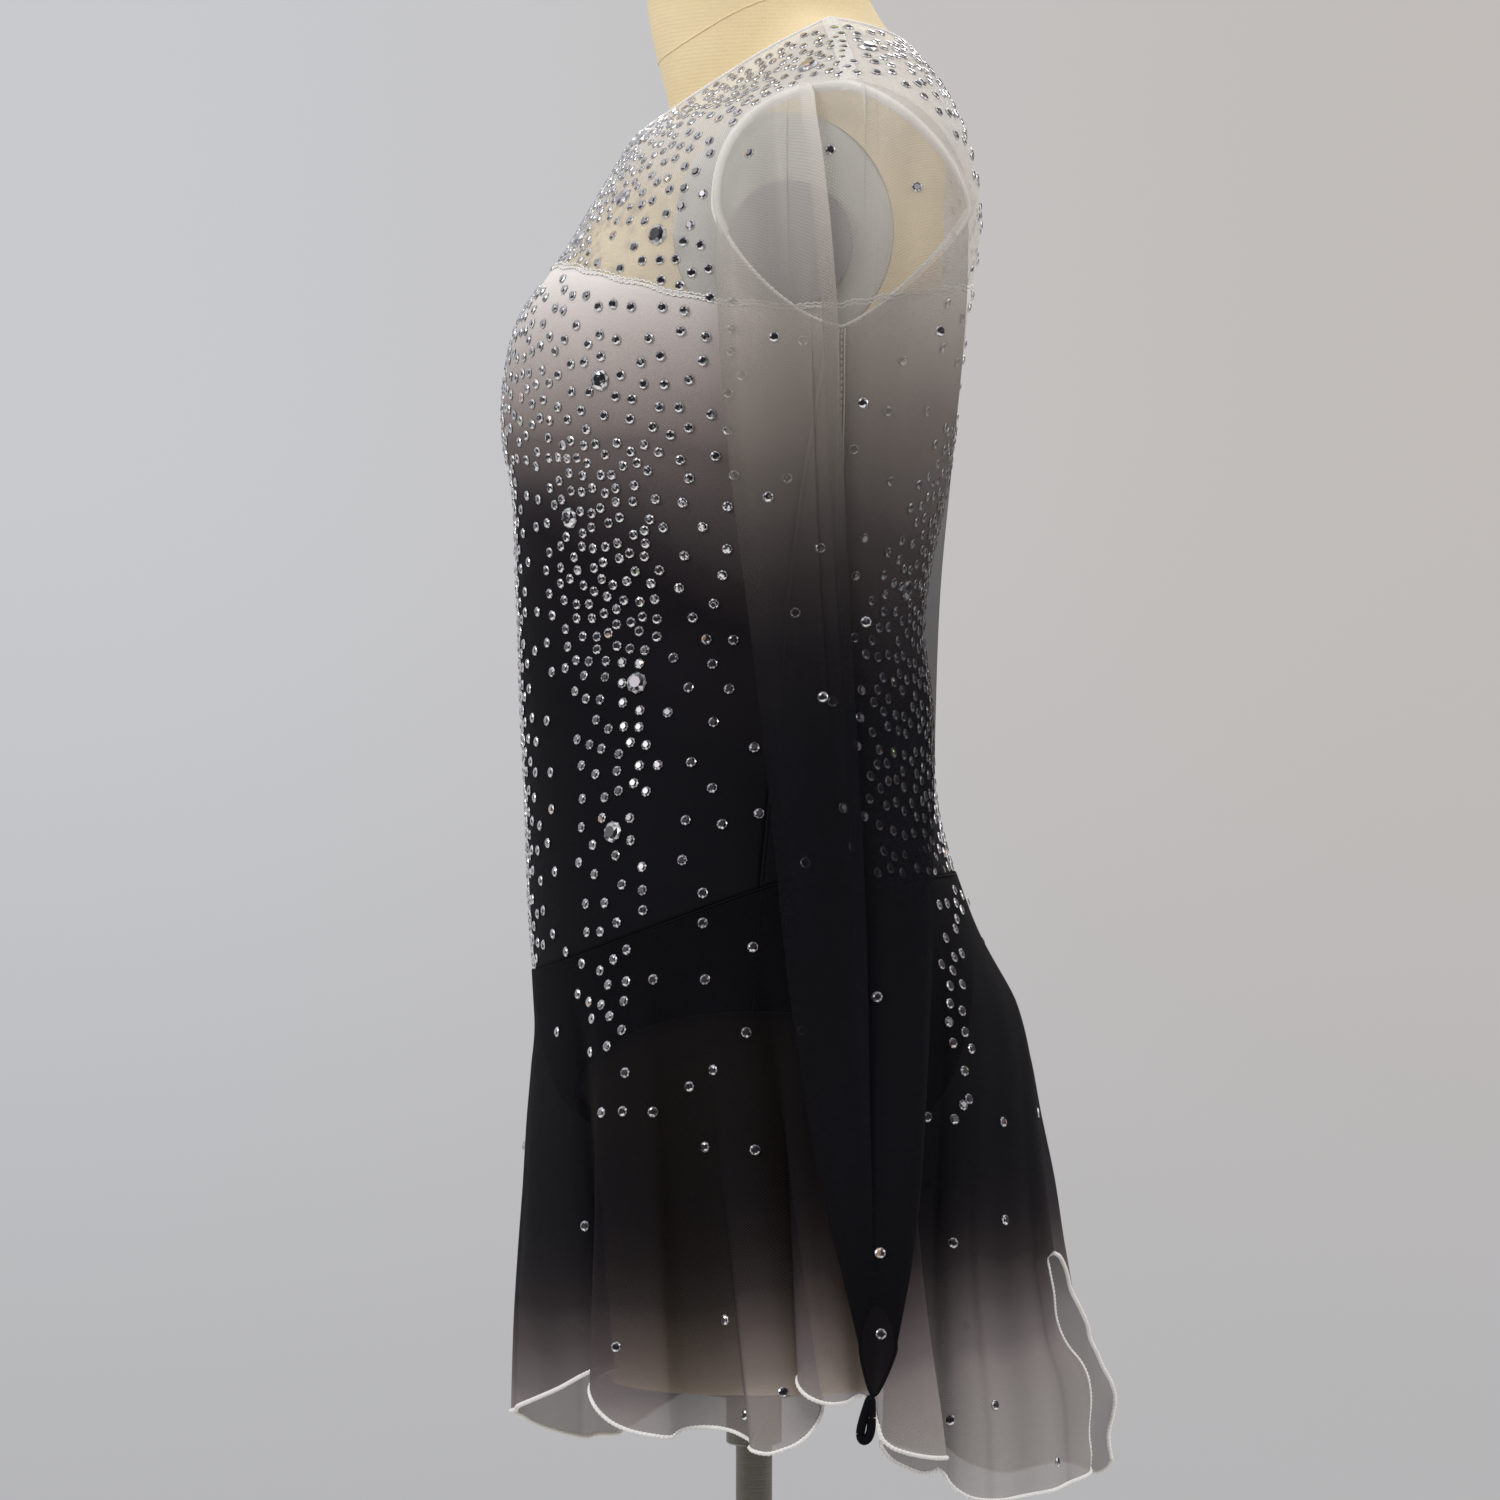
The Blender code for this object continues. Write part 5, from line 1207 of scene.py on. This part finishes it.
# Degrees from the front where the slit's swing and the back's fullness begin, and over how many they grow
SWING_FROM, SWING_OVER = 110, 70
FULLER_FROM, FULLER_OVER = 125, 45
BACK_FULLNESS = 0.0065
SLIT_SPREAD_LEFT = 24
SLIT_SPREAD_RIGHT = 13
SMALL_WAVE = 0.0011
SKIRT_STANDS_OFF = 0.0023
LIES_ON_BODY = 0.22
HEM_PULL_POWER = 1.05
WAVE_SHADE = 0.25
FOLDS_GROW_OVER = 0.55
HEM_STEP = 0.25
NEARBY_STEPS = 120

skirt_surface = torso(SKIRT)


def seen_line(places, count):
    """A smooth line of points through places seen in the picture."""
    across, down, out = np.array(places, float).T
    scale = VIEW_WIDTH / VIEW_PIXELS * (VIEW_DISTANCE - out) / VIEW_DISTANCE
    y, z = VIEW_Y + (across - VIEW_PIXELS / 2) * scale, VIEW_Z + (VIEW_PIXELS / 2 - down) * scale
    return curves_through(np.stack((out, y, z), -1), count)


def hem_half(places):
    """Half of the hem: its points, and the angle that each belongs to by the length of hem before it."""
    line = seen_line(places, 3000)
    gone = gone_along(line)
    return gone / gone[-1] * 180, line


slit_left_line, slit_right_line = seen_line(SLIT_LEFT, 400), seen_line(SLIT_RIGHT, 400)
left_angles, left_line = hem_half(HEM_LEFT)
right_angles, right_line = hem_half(HEM_RIGHT)
hem_angles = np.concatenate((-right_angles[:0:-1], left_angles))
hem_line = np.concatenate((right_line[:0:-1], left_line))


def hem_at(angle):
    return read_at(angle, hem_angles, hem_line)


def out_of_skirt(angle, z):
    along = unit(skirt_surface(angle + 1, z) - skirt_surface(angle - 1, z))
    return np.stack((along[..., 1], -along[..., 0], np.zeros(along.shape[:-1])), -1)


def small_waves(angle):
    """Small uneven waves round the skirt, from -1 to 1."""
    return np.sin(np.radians(angle * 23) + 1.3 * np.sin(np.radians(angle * 7)))


def skirt_fall(angle, share):
    """Points of the skirt with its slit closed, share 0 at the hip seam and 1 at the hem."""
    hem, top = hem_at(angle), hip_seam(angle) - SEAM_GAP
    z = top + (hem[..., 2] - top) * share
    at_back = SLIT_SWING * eased((abs(angle) - SWING_FROM) / SWING_OVER)
    swung = angle - at_back * eased((top - z) / (top - slit_left_line[0, 2]))
    out = out_of_skirt(swung, z)
    ripple = SMALL_WAVE * share * small_waves(angle)
    fuller = BACK_FULLNESS * eased((abs(angle) - FULLER_FROM) / FULLER_OVER) * np.sin(np.pi * share)
    folded = skirt_surface(swung, z) + out * (ripple + fuller)[..., None]
    folded += (hem - skirt_surface(angle - at_back, hem[..., 2])) * share[..., None] ** HEM_PULL_POWER
    on_body = dress_surface(angle, z) + out * SKIRT_STANDS_OFF
    mix = eased(share / LIES_ON_BODY)[..., None]
    return on_body * (1 - mix) + folded * mix


def slit_pull(end, line, share):
    """How far the edge of the slit at one end of the skirt is drawn from where it would fall."""
    top = (hip_seam(end) - line[0, 2]) / (hip_seam(end) - line[-1, 2])
    falls = skirt_fall(np.full(share.shape, end), share)
    edge = read_at(-falls[..., 2], -line[:, 2], line)
    at_top = line[0] - skirt_fall(np.array([end]), np.array([top]))[0]
    above = eased(share / top)[..., None] * at_top
    return np.where((share < top)[..., None], above, edge - falls)


def skirt_points(angle, share):
    """Points of the skirt, share 0 at the hip seam and 1 at the hem."""
    spread = np.where(angle > 0, SLIT_SPREAD_LEFT, SLIT_SPREAD_RIGHT)
    near_slit = eased((abs(angle) - 180 + spread) / spread)[..., None]
    pull = np.where((angle > 0)[..., None], slit_pull(180.0, slit_left_line, share),
                    slit_pull(-180.0, slit_right_line, share))
    return skirt_fall(angle, share) + pull * near_slit


# How far the folds stand out along the hem, from -1 in a hollow to 1 on a ridge, against its level nearby
all_round = np.arange(-180, 180, HEM_STEP)
hem_round = hem_at(all_round)
hem_stands = hem_round - skirt_surface(all_round, hem_round[:, 2])
hem_stands = (hem_stands * out_of_skirt(all_round, hem_round[:, 2])).sum(1)
nearby = np.exp(-(np.arange(-NEARBY_STEPS, NEARBY_STEPS + 1) * HEM_STEP / SKIRT_FOLD_WIDTH) ** 2)
hem_level = np.convolve(
    np.concatenate((hem_stands[-NEARBY_STEPS:], hem_stands, hem_stands[:NEARBY_STEPS])),
    nearby / nearby.sum(), "valid")
hem_folds = np.clip((hem_stands - hem_level) / SKIRT_FOLD_DEPTH, -1, 1)


def skirt_folds(angle, share):
    """How far the folds stand out at places of the skirt, less along the painted dark streaks and more along
    the painted light ones; it sets the skirt's painted fold shade.
    """
    folds = np.interp(angle, all_round, hem_folds) + WAVE_SHADE * small_waves(angle)
    for place, width, deep in PAINTED_SKIRT_STREAKS:
        folds = folds - deep * np.exp(-((angle - place) / width) ** 2)
    return np.clip(folds, *FOLD_LIMITS) * eased(share / FOLDS_GROW_OVER)


skirt_mesh = dyed_mesh("dip-dyed skirt mesh", (
    (0.625, (0.320, 0.300, 0.290)), (0.660, (0.270, 0.246, 0.238)), (0.680, (0.220, 0.193, 0.190)),
    (0.692, (0.135, 0.114, 0.117)), (0.715, (0.060, 0.048, 0.050)), (0.735, (0.0200, 0.0158, 0.0172)),
    (0.755, (0.0085, 0.0071, 0.0089)), (0.775, (0.0045, 0.0040, 0.0058)), (0.800, (0.0034, 0.0031, 0.0048)),
    (0.950, (0.0030, 0.0028, 0.0042)),
), ((0.625, 0.76), (0.680, 0.79), (0.692, 0.83), (0.715, 0.90), (0.735, 0.94), (0.760, 0.955), (0.790, 0.95),
    (0.830, 0.93), (0.870, 0.935), (0.900, 0.965), (0.950, 0.97)),
    lambda y, z: z - y * 0.08 - y.math("MINIMUM", y, 0.0) * 0.10)
SKIRT_PANELS = (
    ("front", "skirt_front", -89.5, 90.5, 420), ("back_left", "skirt_back_left", 90.5, 180, 250),
    ("back_right", "skirt_back_right", -180, -89.5, 210),
)
for name, node, first, last, count in SKIRT_PANELS:
    angles = np.linspace(first, last, count)
    places = np.broadcast_arrays(angles[None, :], np.linspace(0, 1, 96)[:, None])
    panel = cloth("skirt_" + name + "_mesh", skirt_points(*places), skirt_mesh.material,
                  folds=skirt_folds(*places))
    hold(panel, "dyed_skirt_mesh", node)

hem_path = skirt_points(np.linspace(-179.9, 179.9, 3000), np.ones(3000))
edge_line = np.concatenate((slit_right_line, hem_path, slit_left_line[::-1]))
hold(cord("rolled_hem", evenly(edge_line, 0.0006), 0.0011, white_thread.material, closed=False,
          ripple=(0.0022, 0.0002)), "dyed_skirt_mesh")
ridge = evenly(off_dress(seam_angles, hip_seam(seam_angles), 0.0016), 0.0015)[:-1]
hold(cord("hip_seam_ridge", ridge, 0.0007, black_stretch.material), "black_stretch_cloth")


# Rhinestones. Flat-backed glass stones glued on by hand: thousands of 5 mm ones, crowded at the neckline and
# down the front, trailing off over the hips, with a few large ones among them.
STONE = 0.0028
SMALL_STONE = 0.0024
LARGE_STONE = 0.0058
GLUED_LIFT = 0.0002
LARGE_LIFT = 0.0004
BODICE_LIFT = 0.0009
YOKE_LIFT = 0.0003
CROWDED = 0.0064
STONES_START_BELOW = 0.0035
STONES_STOP_ABOVE = 0.0030
UNDER_SLEEVE_SPACING = 0.0340
CLEAR_OF_SEAM = 0.0070
STONE_GAP = 0.0003
NO_STONES = math.inf
BODY_TRIES = 60000
SKIRT_TRIES = 12000

stone_rim = Finish("rhinestone edge", Metallic=0.8, Roughness=0.3)
rim_uneven = stone_rim.place.noise(500.0, 0.0).between(0.3, 0.7)
stone_rim.draw("Base Color", rim_uneven.mixed((0.36, 0.36, 0.38), (0.76, 0.76, 0.78)))
stone_glass = Finish("rhinestone glass", Metallic=1.0, Roughness=0.10)
# Painted reflection and shade: the glass is coloured bright on facets that face down, dark elsewhere, and
# lighter where facets face up and towards the front.
_, glass_ahead, glass_up = stone_glass.start.node("ShaderNodeTexCoord", {}, {}, "Normal").axes()
painted_upper_facet_shade = (glass_up + stone_glass.place.noise(520.0, 0.0) * 0.9).between(0.02, 0.30)
painted_facet_reflection = (glass_up - glass_ahead).between(0.62, 1.10).mixed((0.075, 0.070, 0.080), (0.56, 0.56, 0.58))
painted_facet_light = painted_upper_facet_shade.mixed((0.92, 0.92, 0.93), painted_facet_reflection)
# Painted glints: a few patches of the stones' glass are tinted warm or green, as coloured sparkle.
warm_glint = stone_glass.place.noise(170.0, 0.0).between(0.75, 0.78).mixed(painted_facet_light, (0.80, 0.55, 0.42))
green_glint = stone_glass.place.noise(140.0, 1.0).between(0.74, 0.77).mixed(warm_glint, (0.60, 0.80, 0.42))
stone_glass.draw("Base Color", green_glint)

# A stone of radius 1: rings of eight corners from its foot to its table, by radius, height and turn
STONE_RINGS = ((1.0, 0.0, 0.0), (0.84, 0.24, 22.5), (0.54, 0.40, 0.0))
stone_corners = np.array([
    (radius * math.cos(math.radians(45 * i + twist)), radius * math.sin(math.radians(45 * i + twist)), height)
    for radius, height, twist in STONE_RINGS for i in range(8)])
stone_edge, stone_crown = [tuple(range(7, -1, -1))], [tuple(range(16, 24))]
for i in range(8):
    k = (i + 1) % 8
    stone_edge += [(i, k, 8 + i), (k, 8 + k, 8 + i)]
    stone_crown += [(8 + i, 16 + k, 16 + i), (8 + i, 8 + k, 16 + k)]


def set_stones(name, places, seed):
    """Stones at (point, way out, radius), each turned by chance, joined in one piece."""
    draw = np.random.default_rng(seed)
    points, outs, radii = (np.array(column) for column in zip(*places))
    outs = unit(outs)
    side = unit(np.cross(outs, (0.31, 0.17, 0.93)))
    other = np.cross(outs, side)
    spin = draw.uniform(0, 2 * np.pi, len(points))[:, None]
    tilt = draw.normal(0, 0.09, (2, len(points), 1))
    across = side * np.cos(spin) + other * np.sin(spin)
    beside = np.cross(outs, across)
    up = outs + across * tilt[0] + beside * tilt[1]
    local = stone_corners[None] * radii[:, None, None]
    corners = points[:, None] + (local[..., :1] * across[:, None] + local[..., 1:2] * beside[:, None]
                                 + local[..., 2:] * up[:, None])
    faces = [[len(stone_corners) * i + j for j in face]
             for part in (stone_edge, stone_crown) for i in range(len(points)) for face in part]
    made = add_piece(name, corners.reshape(-1, 3), faces, stone_rim.material)
    made.data.materials.append(stone_glass.material)
    of_glass = np.arange(len(faces)) >= len(stone_edge) * len(points)
    made.data.polygons.foreach_set("material_index", of_glass.astype(int))
    made.data.shade_flat()
    return made


def in_picture(points):
    """Where points of the near side show in the picture, in its pixels."""
    scale = VIEW_WIDTH / VIEW_PIXELS * (VIEW_DISTANCE - abs(points[..., 0])) / VIEW_DISTANCE
    middle = VIEW_PIXELS / 2
    return middle + (points[..., 1] - VIEW_Y) / scale, middle + (VIEW_Z - points[..., 2]) / scale


def from_line(across, down, line):
    """How far places in the picture lie from a line through its points."""
    nearest = np.full(across.shape, np.inf)
    for (x0, y0), (x1, y1) in zip(line, line[1:]):
        wide, high = x1 - x0, y1 - y0
        share = np.clip(((across - x0) * wide + (down - y0) * high) / (wide ** 2 + high ** 2), 0, 1)
        nearest = np.minimum(nearest, np.hypot(across - x0 - share * wide, down - y0 - share * high))
    return nearest


def crowded(across, down, crowds):
    """How far apart stones lie in crowds of (spacing, half width, what each pixel beyond adds, line)."""
    return np.min([spacing + more * np.maximum(0, from_line(across, down, line) - half)
                   for spacing, half, more, line in crowds], 0)


BODY_CROWDS = (
    (0.0066, 42, 0.00030, ((598, 430), (606, 560), (612, 630))),
    (0.0086, 30, 0.00050, ((614, 630), (616, 760))),
    (0.0102, 28, 0.00060, ((616, 760), (616, 880), (612, 1010))),
    (0.0130, 60, 0.00020, ((665, 440), (695, 620))), (0.0180, 60, 0.00030, ((680, 640), (700, 800))),
)
SKIRT_CROWDS = (
    (0.0098, 22, 0.00120, ((606, 955), (612, 1040))), (0.0110, 10, 0.00150, ((616, 1040), (624, 1120))),
    (0.0088, 9, 0.00200, ((946, 880), (952, 960), (960, 1040))),
    (0.0130, 5, 0.00200, ((962, 1040), (966, 1110))),
    (0.0280, 40, 0.00100, ((700, 940), (720, 1050))),
)


def body_spacing(points, angle, below_neck):
    """How far apart stones lie at points of the body of the dress."""
    across, down = in_picture(points)
    away = abs(from_front(angle))
    front = away < 90
    spacing = np.full(away.shape, 0.026)
    # Bodice: even over the bust, and below it crowded down the centre front and in a band beside that
    bust = front & (down > 290) & (down < 470)
    on_bust = np.interp(away, (0, 20, 50, 75, 90), (0.0064, 0.0080, 0.0088, 0.0112, 0.0130))
    spacing = np.where(bust, on_bust, spacing)
    edge = np.interp(away, (0, 13, 22, 34, 60), (0.0062, 0.0074, 0.0125, 0.0200, 0.0400))
    below_bust = np.minimum(np.minimum(edge, crowded(across, down, BODY_CROWDS)), spacing)
    spacing = np.where(front & (down >= 440), below_bust, spacing)
    # Yoke: crowded along the neckline and the centre front, open towards the armhole
    yoke = front & (points[..., 2] > top_seam(angle) + 0.003)
    crowd = np.minimum(below_neck, np.maximum(0, (away - 24)) * 0.0016)
    on_yoke = np.interp(crowd, (0, 0.026, 0.044, 0.070), (0.0054, 0.0058, 0.0082, 0.0094))
    patch = (across > 590) & (points[..., 2] < top_seam(angle) + 0.024) & (across < 640)
    spacing = np.where(yoke, np.where(patch, 0.0130, on_yoke), spacing)
    # Back: crowded at the neckline, thinning down, then a second crowd from the waist to the hips
    on_back = np.interp(below_neck, (0, 0.025, 0.05, 0.10, 0.17), (0.0074, 0.0084, 0.0112, 0.0160, 0.0260))
    crowd_back = 0.0080 + 0.0008 * np.maximum(0, 180 - away - np.interp(down, (420, 600), (28, 54)))
    crowd_back = np.where((down > 430) & (down < 1010), crowd_back, NO_STONES)
    spacing = np.where(front, spacing, np.minimum(on_back, crowd_back))
    # Few under the sleeve, and none on its seam
    under_sleeve = (across > 735) & (down > 290) & (away < 115)
    spacing = np.where(under_sleeve, np.maximum(spacing, UNDER_SLEEVE_SPACING), spacing)
    armhole = np.hypot((points[..., 1] - ARMHOLE_Y) / (ARMHOLE_HALF_DEPTH + CLEAR_OF_SEAM),
                       (points[..., 2] - ARMHOLE_Z) / (ARMHOLE_HALF_HEIGHT + CLEAR_OF_SEAM)) < 1
    return np.where(armhole & (abs(points[..., 0]) > ARMHOLE_INNER_X), NO_STONES, spacing)


def scattered(points, spacing, taken, seed):
    """The numbers of points kept so that none lies nearer another than its spacing, or touches a large stone
    at a place taken."""
    draw = np.random.default_rng(seed)
    placed, reach = np.zeros((len(taken) + len(points), 3)), np.zeros(len(taken) + len(points))
    for number, point in enumerate(taken):
        placed[number], reach[number] = point, LARGE_STONE + STONE + STONE_GAP
    kept, count = [], len(taken)
    for i in draw.permutation(np.flatnonzero(spacing < NO_STONES)):
        gaps = ((placed[:count] - points[i]) ** 2).sum(1)
        if not (gaps < np.maximum(spacing[i], reach[:count]) ** 2).any():
            placed[count] = points[i]
            count += 1
            kept.append(i)
    return kept


def pinned(tree, spots, sides):
    """The places of a piece that show at spots of the picture, or their mirror, and the way out there."""
    scale = VIEW_WIDTH / VIEW_DISTANCE / VIEW_PIXELS
    found = []
    for across, down in spots:
        for side in sides:
            start = Vector((side * VIEW_DISTANCE, VIEW_Y, VIEW_Z))
            ahead = Vector((-side, (across - VIEW_PIXELS / 2) * scale, (VIEW_PIXELS / 2 - down) * scale))
            place, normal = tree.ray_cast(start, ahead)[:2]
            if place is not None:
                found.append((place, normal if normal.dot(ahead) < 0 else -normal))
    return found


def stones_at(found, lift, radius):
    """A stone of that radius at each of the places found, lifted off the piece."""
    return [(np.array(place + normal * lift), np.array(normal), radius) for place, normal in found]


# Stones that the picture shows one by one: across and down in its pixels
LARGE_STONES = (
    (658, 235), (600, 380), (570, 518), (637, 683), (613, 832), (647, 990), (808, 67), (868, 48), (719, 74),
    (645, 137), (624, 198), (580, 240), (906, 590),
)
SLEEVE_STONES = (
    (749, 153), (830, 150), (917, 187), (774, 337), (863, 403), (940, 331), (768, 497), (823, 697),
    (866, 622), (877, 997), (880, 1253), (881, 1334),
)
SKIRT_STONES = (
    (585, 1226), (616, 1347), (725, 1320), (783, 1392), (745, 1415), (953, 1243), (1005, 1220), (950, 1420),
    (995, 1405), (1057, 1462), (713, 1070), (755, 1150), (705, 1147), (653, 1112), (963, 1105), (927, 1117),
    (1003, 1122),
)

body_tree = tree_of(*[bpy.data.objects[name] for name in (
    "yoke_front_mesh", "yoke_back_mesh", "bodice_front_cloth", "bodice_back_cloth")])
large_places = pinned(body_tree, LARGE_STONES, (1, -1))
body_stones = stones_at(large_places, LARGE_LIFT, LARGE_STONE)
draw = np.random.default_rng(11)
stone_angles, shares = draw.uniform(-180, 180, BODY_TRIES), draw.uniform(0, 1, BODY_TRIES)
neck_heights = neckline(stone_angles) - STONES_START_BELOW
hip_heights = hip_seam(stone_angles) + STONES_STOP_ABOVE
stone_heights = hip_heights + (neck_heights - hip_heights) * shares
stone_points = dress_surface(stone_angles, stone_heights)
stone_outs = outward_at(stone_angles, stone_heights)
stone_spacing = body_spacing(stone_points, stone_angles, neck_heights - stone_heights)
for i in scattered(stone_points, stone_spacing, [place for place, _ in large_places], seed=5):
    lift = BODICE_LIFT if stone_heights[i] < top_seam(stone_angles[i]) else YOKE_LIFT
    radius = SMALL_STONE if stone_spacing[i] < CROWDED else STONE
    body_stones.append((stone_points[i] + stone_outs[i] * lift, stone_outs[i], radius))
hold(set_stones("body_rhinestones", body_stones, seed=21), "dyed_stretch_cloth")

sleeve_stones = []
for side, side_name in SIDES:
    sleeve_tree = tree_of(bpy.data.objects["sleeve_" + side_name + "_mesh"])
    sleeve_stones += stones_at(pinned(sleeve_tree, SLEEVE_STONES, (side,)), GLUED_LIFT, STONE)
hold(set_stones("sleeve_rhinestones", sleeve_stones, seed=22), "dyed_sleeve_mesh")

skirt_tree = tree_of(*[bpy.data.objects["skirt_" + panel[0] + "_mesh"] for panel in SKIRT_PANELS])
skirt_stones = stones_at(pinned(skirt_tree, SKIRT_STONES, (1, -1)), GLUED_LIFT, STONE)
draw = np.random.default_rng(12)
stone_points = skirt_points(draw.uniform(-180, 180, SKIRT_TRIES), draw.uniform(0.02, 0.75, SKIRT_TRIES))
for i in scattered(stone_points, crowded(*in_picture(stone_points), SKIRT_CROWDS), [], seed=6):
    place, normal = skirt_tree.find_nearest(Vector(stone_points[i]))[:2]
    normal = np.array(normal if normal.dot(place - Vector((0, 0.02, place.z))) > 0 else -normal)
    skirt_stones.append((stone_points[i] + normal * GLUED_LIFT, normal, STONE))
hold(set_stones("skirt_rhinestones", skirt_stones, seed=23), "dyed_skirt_mesh")
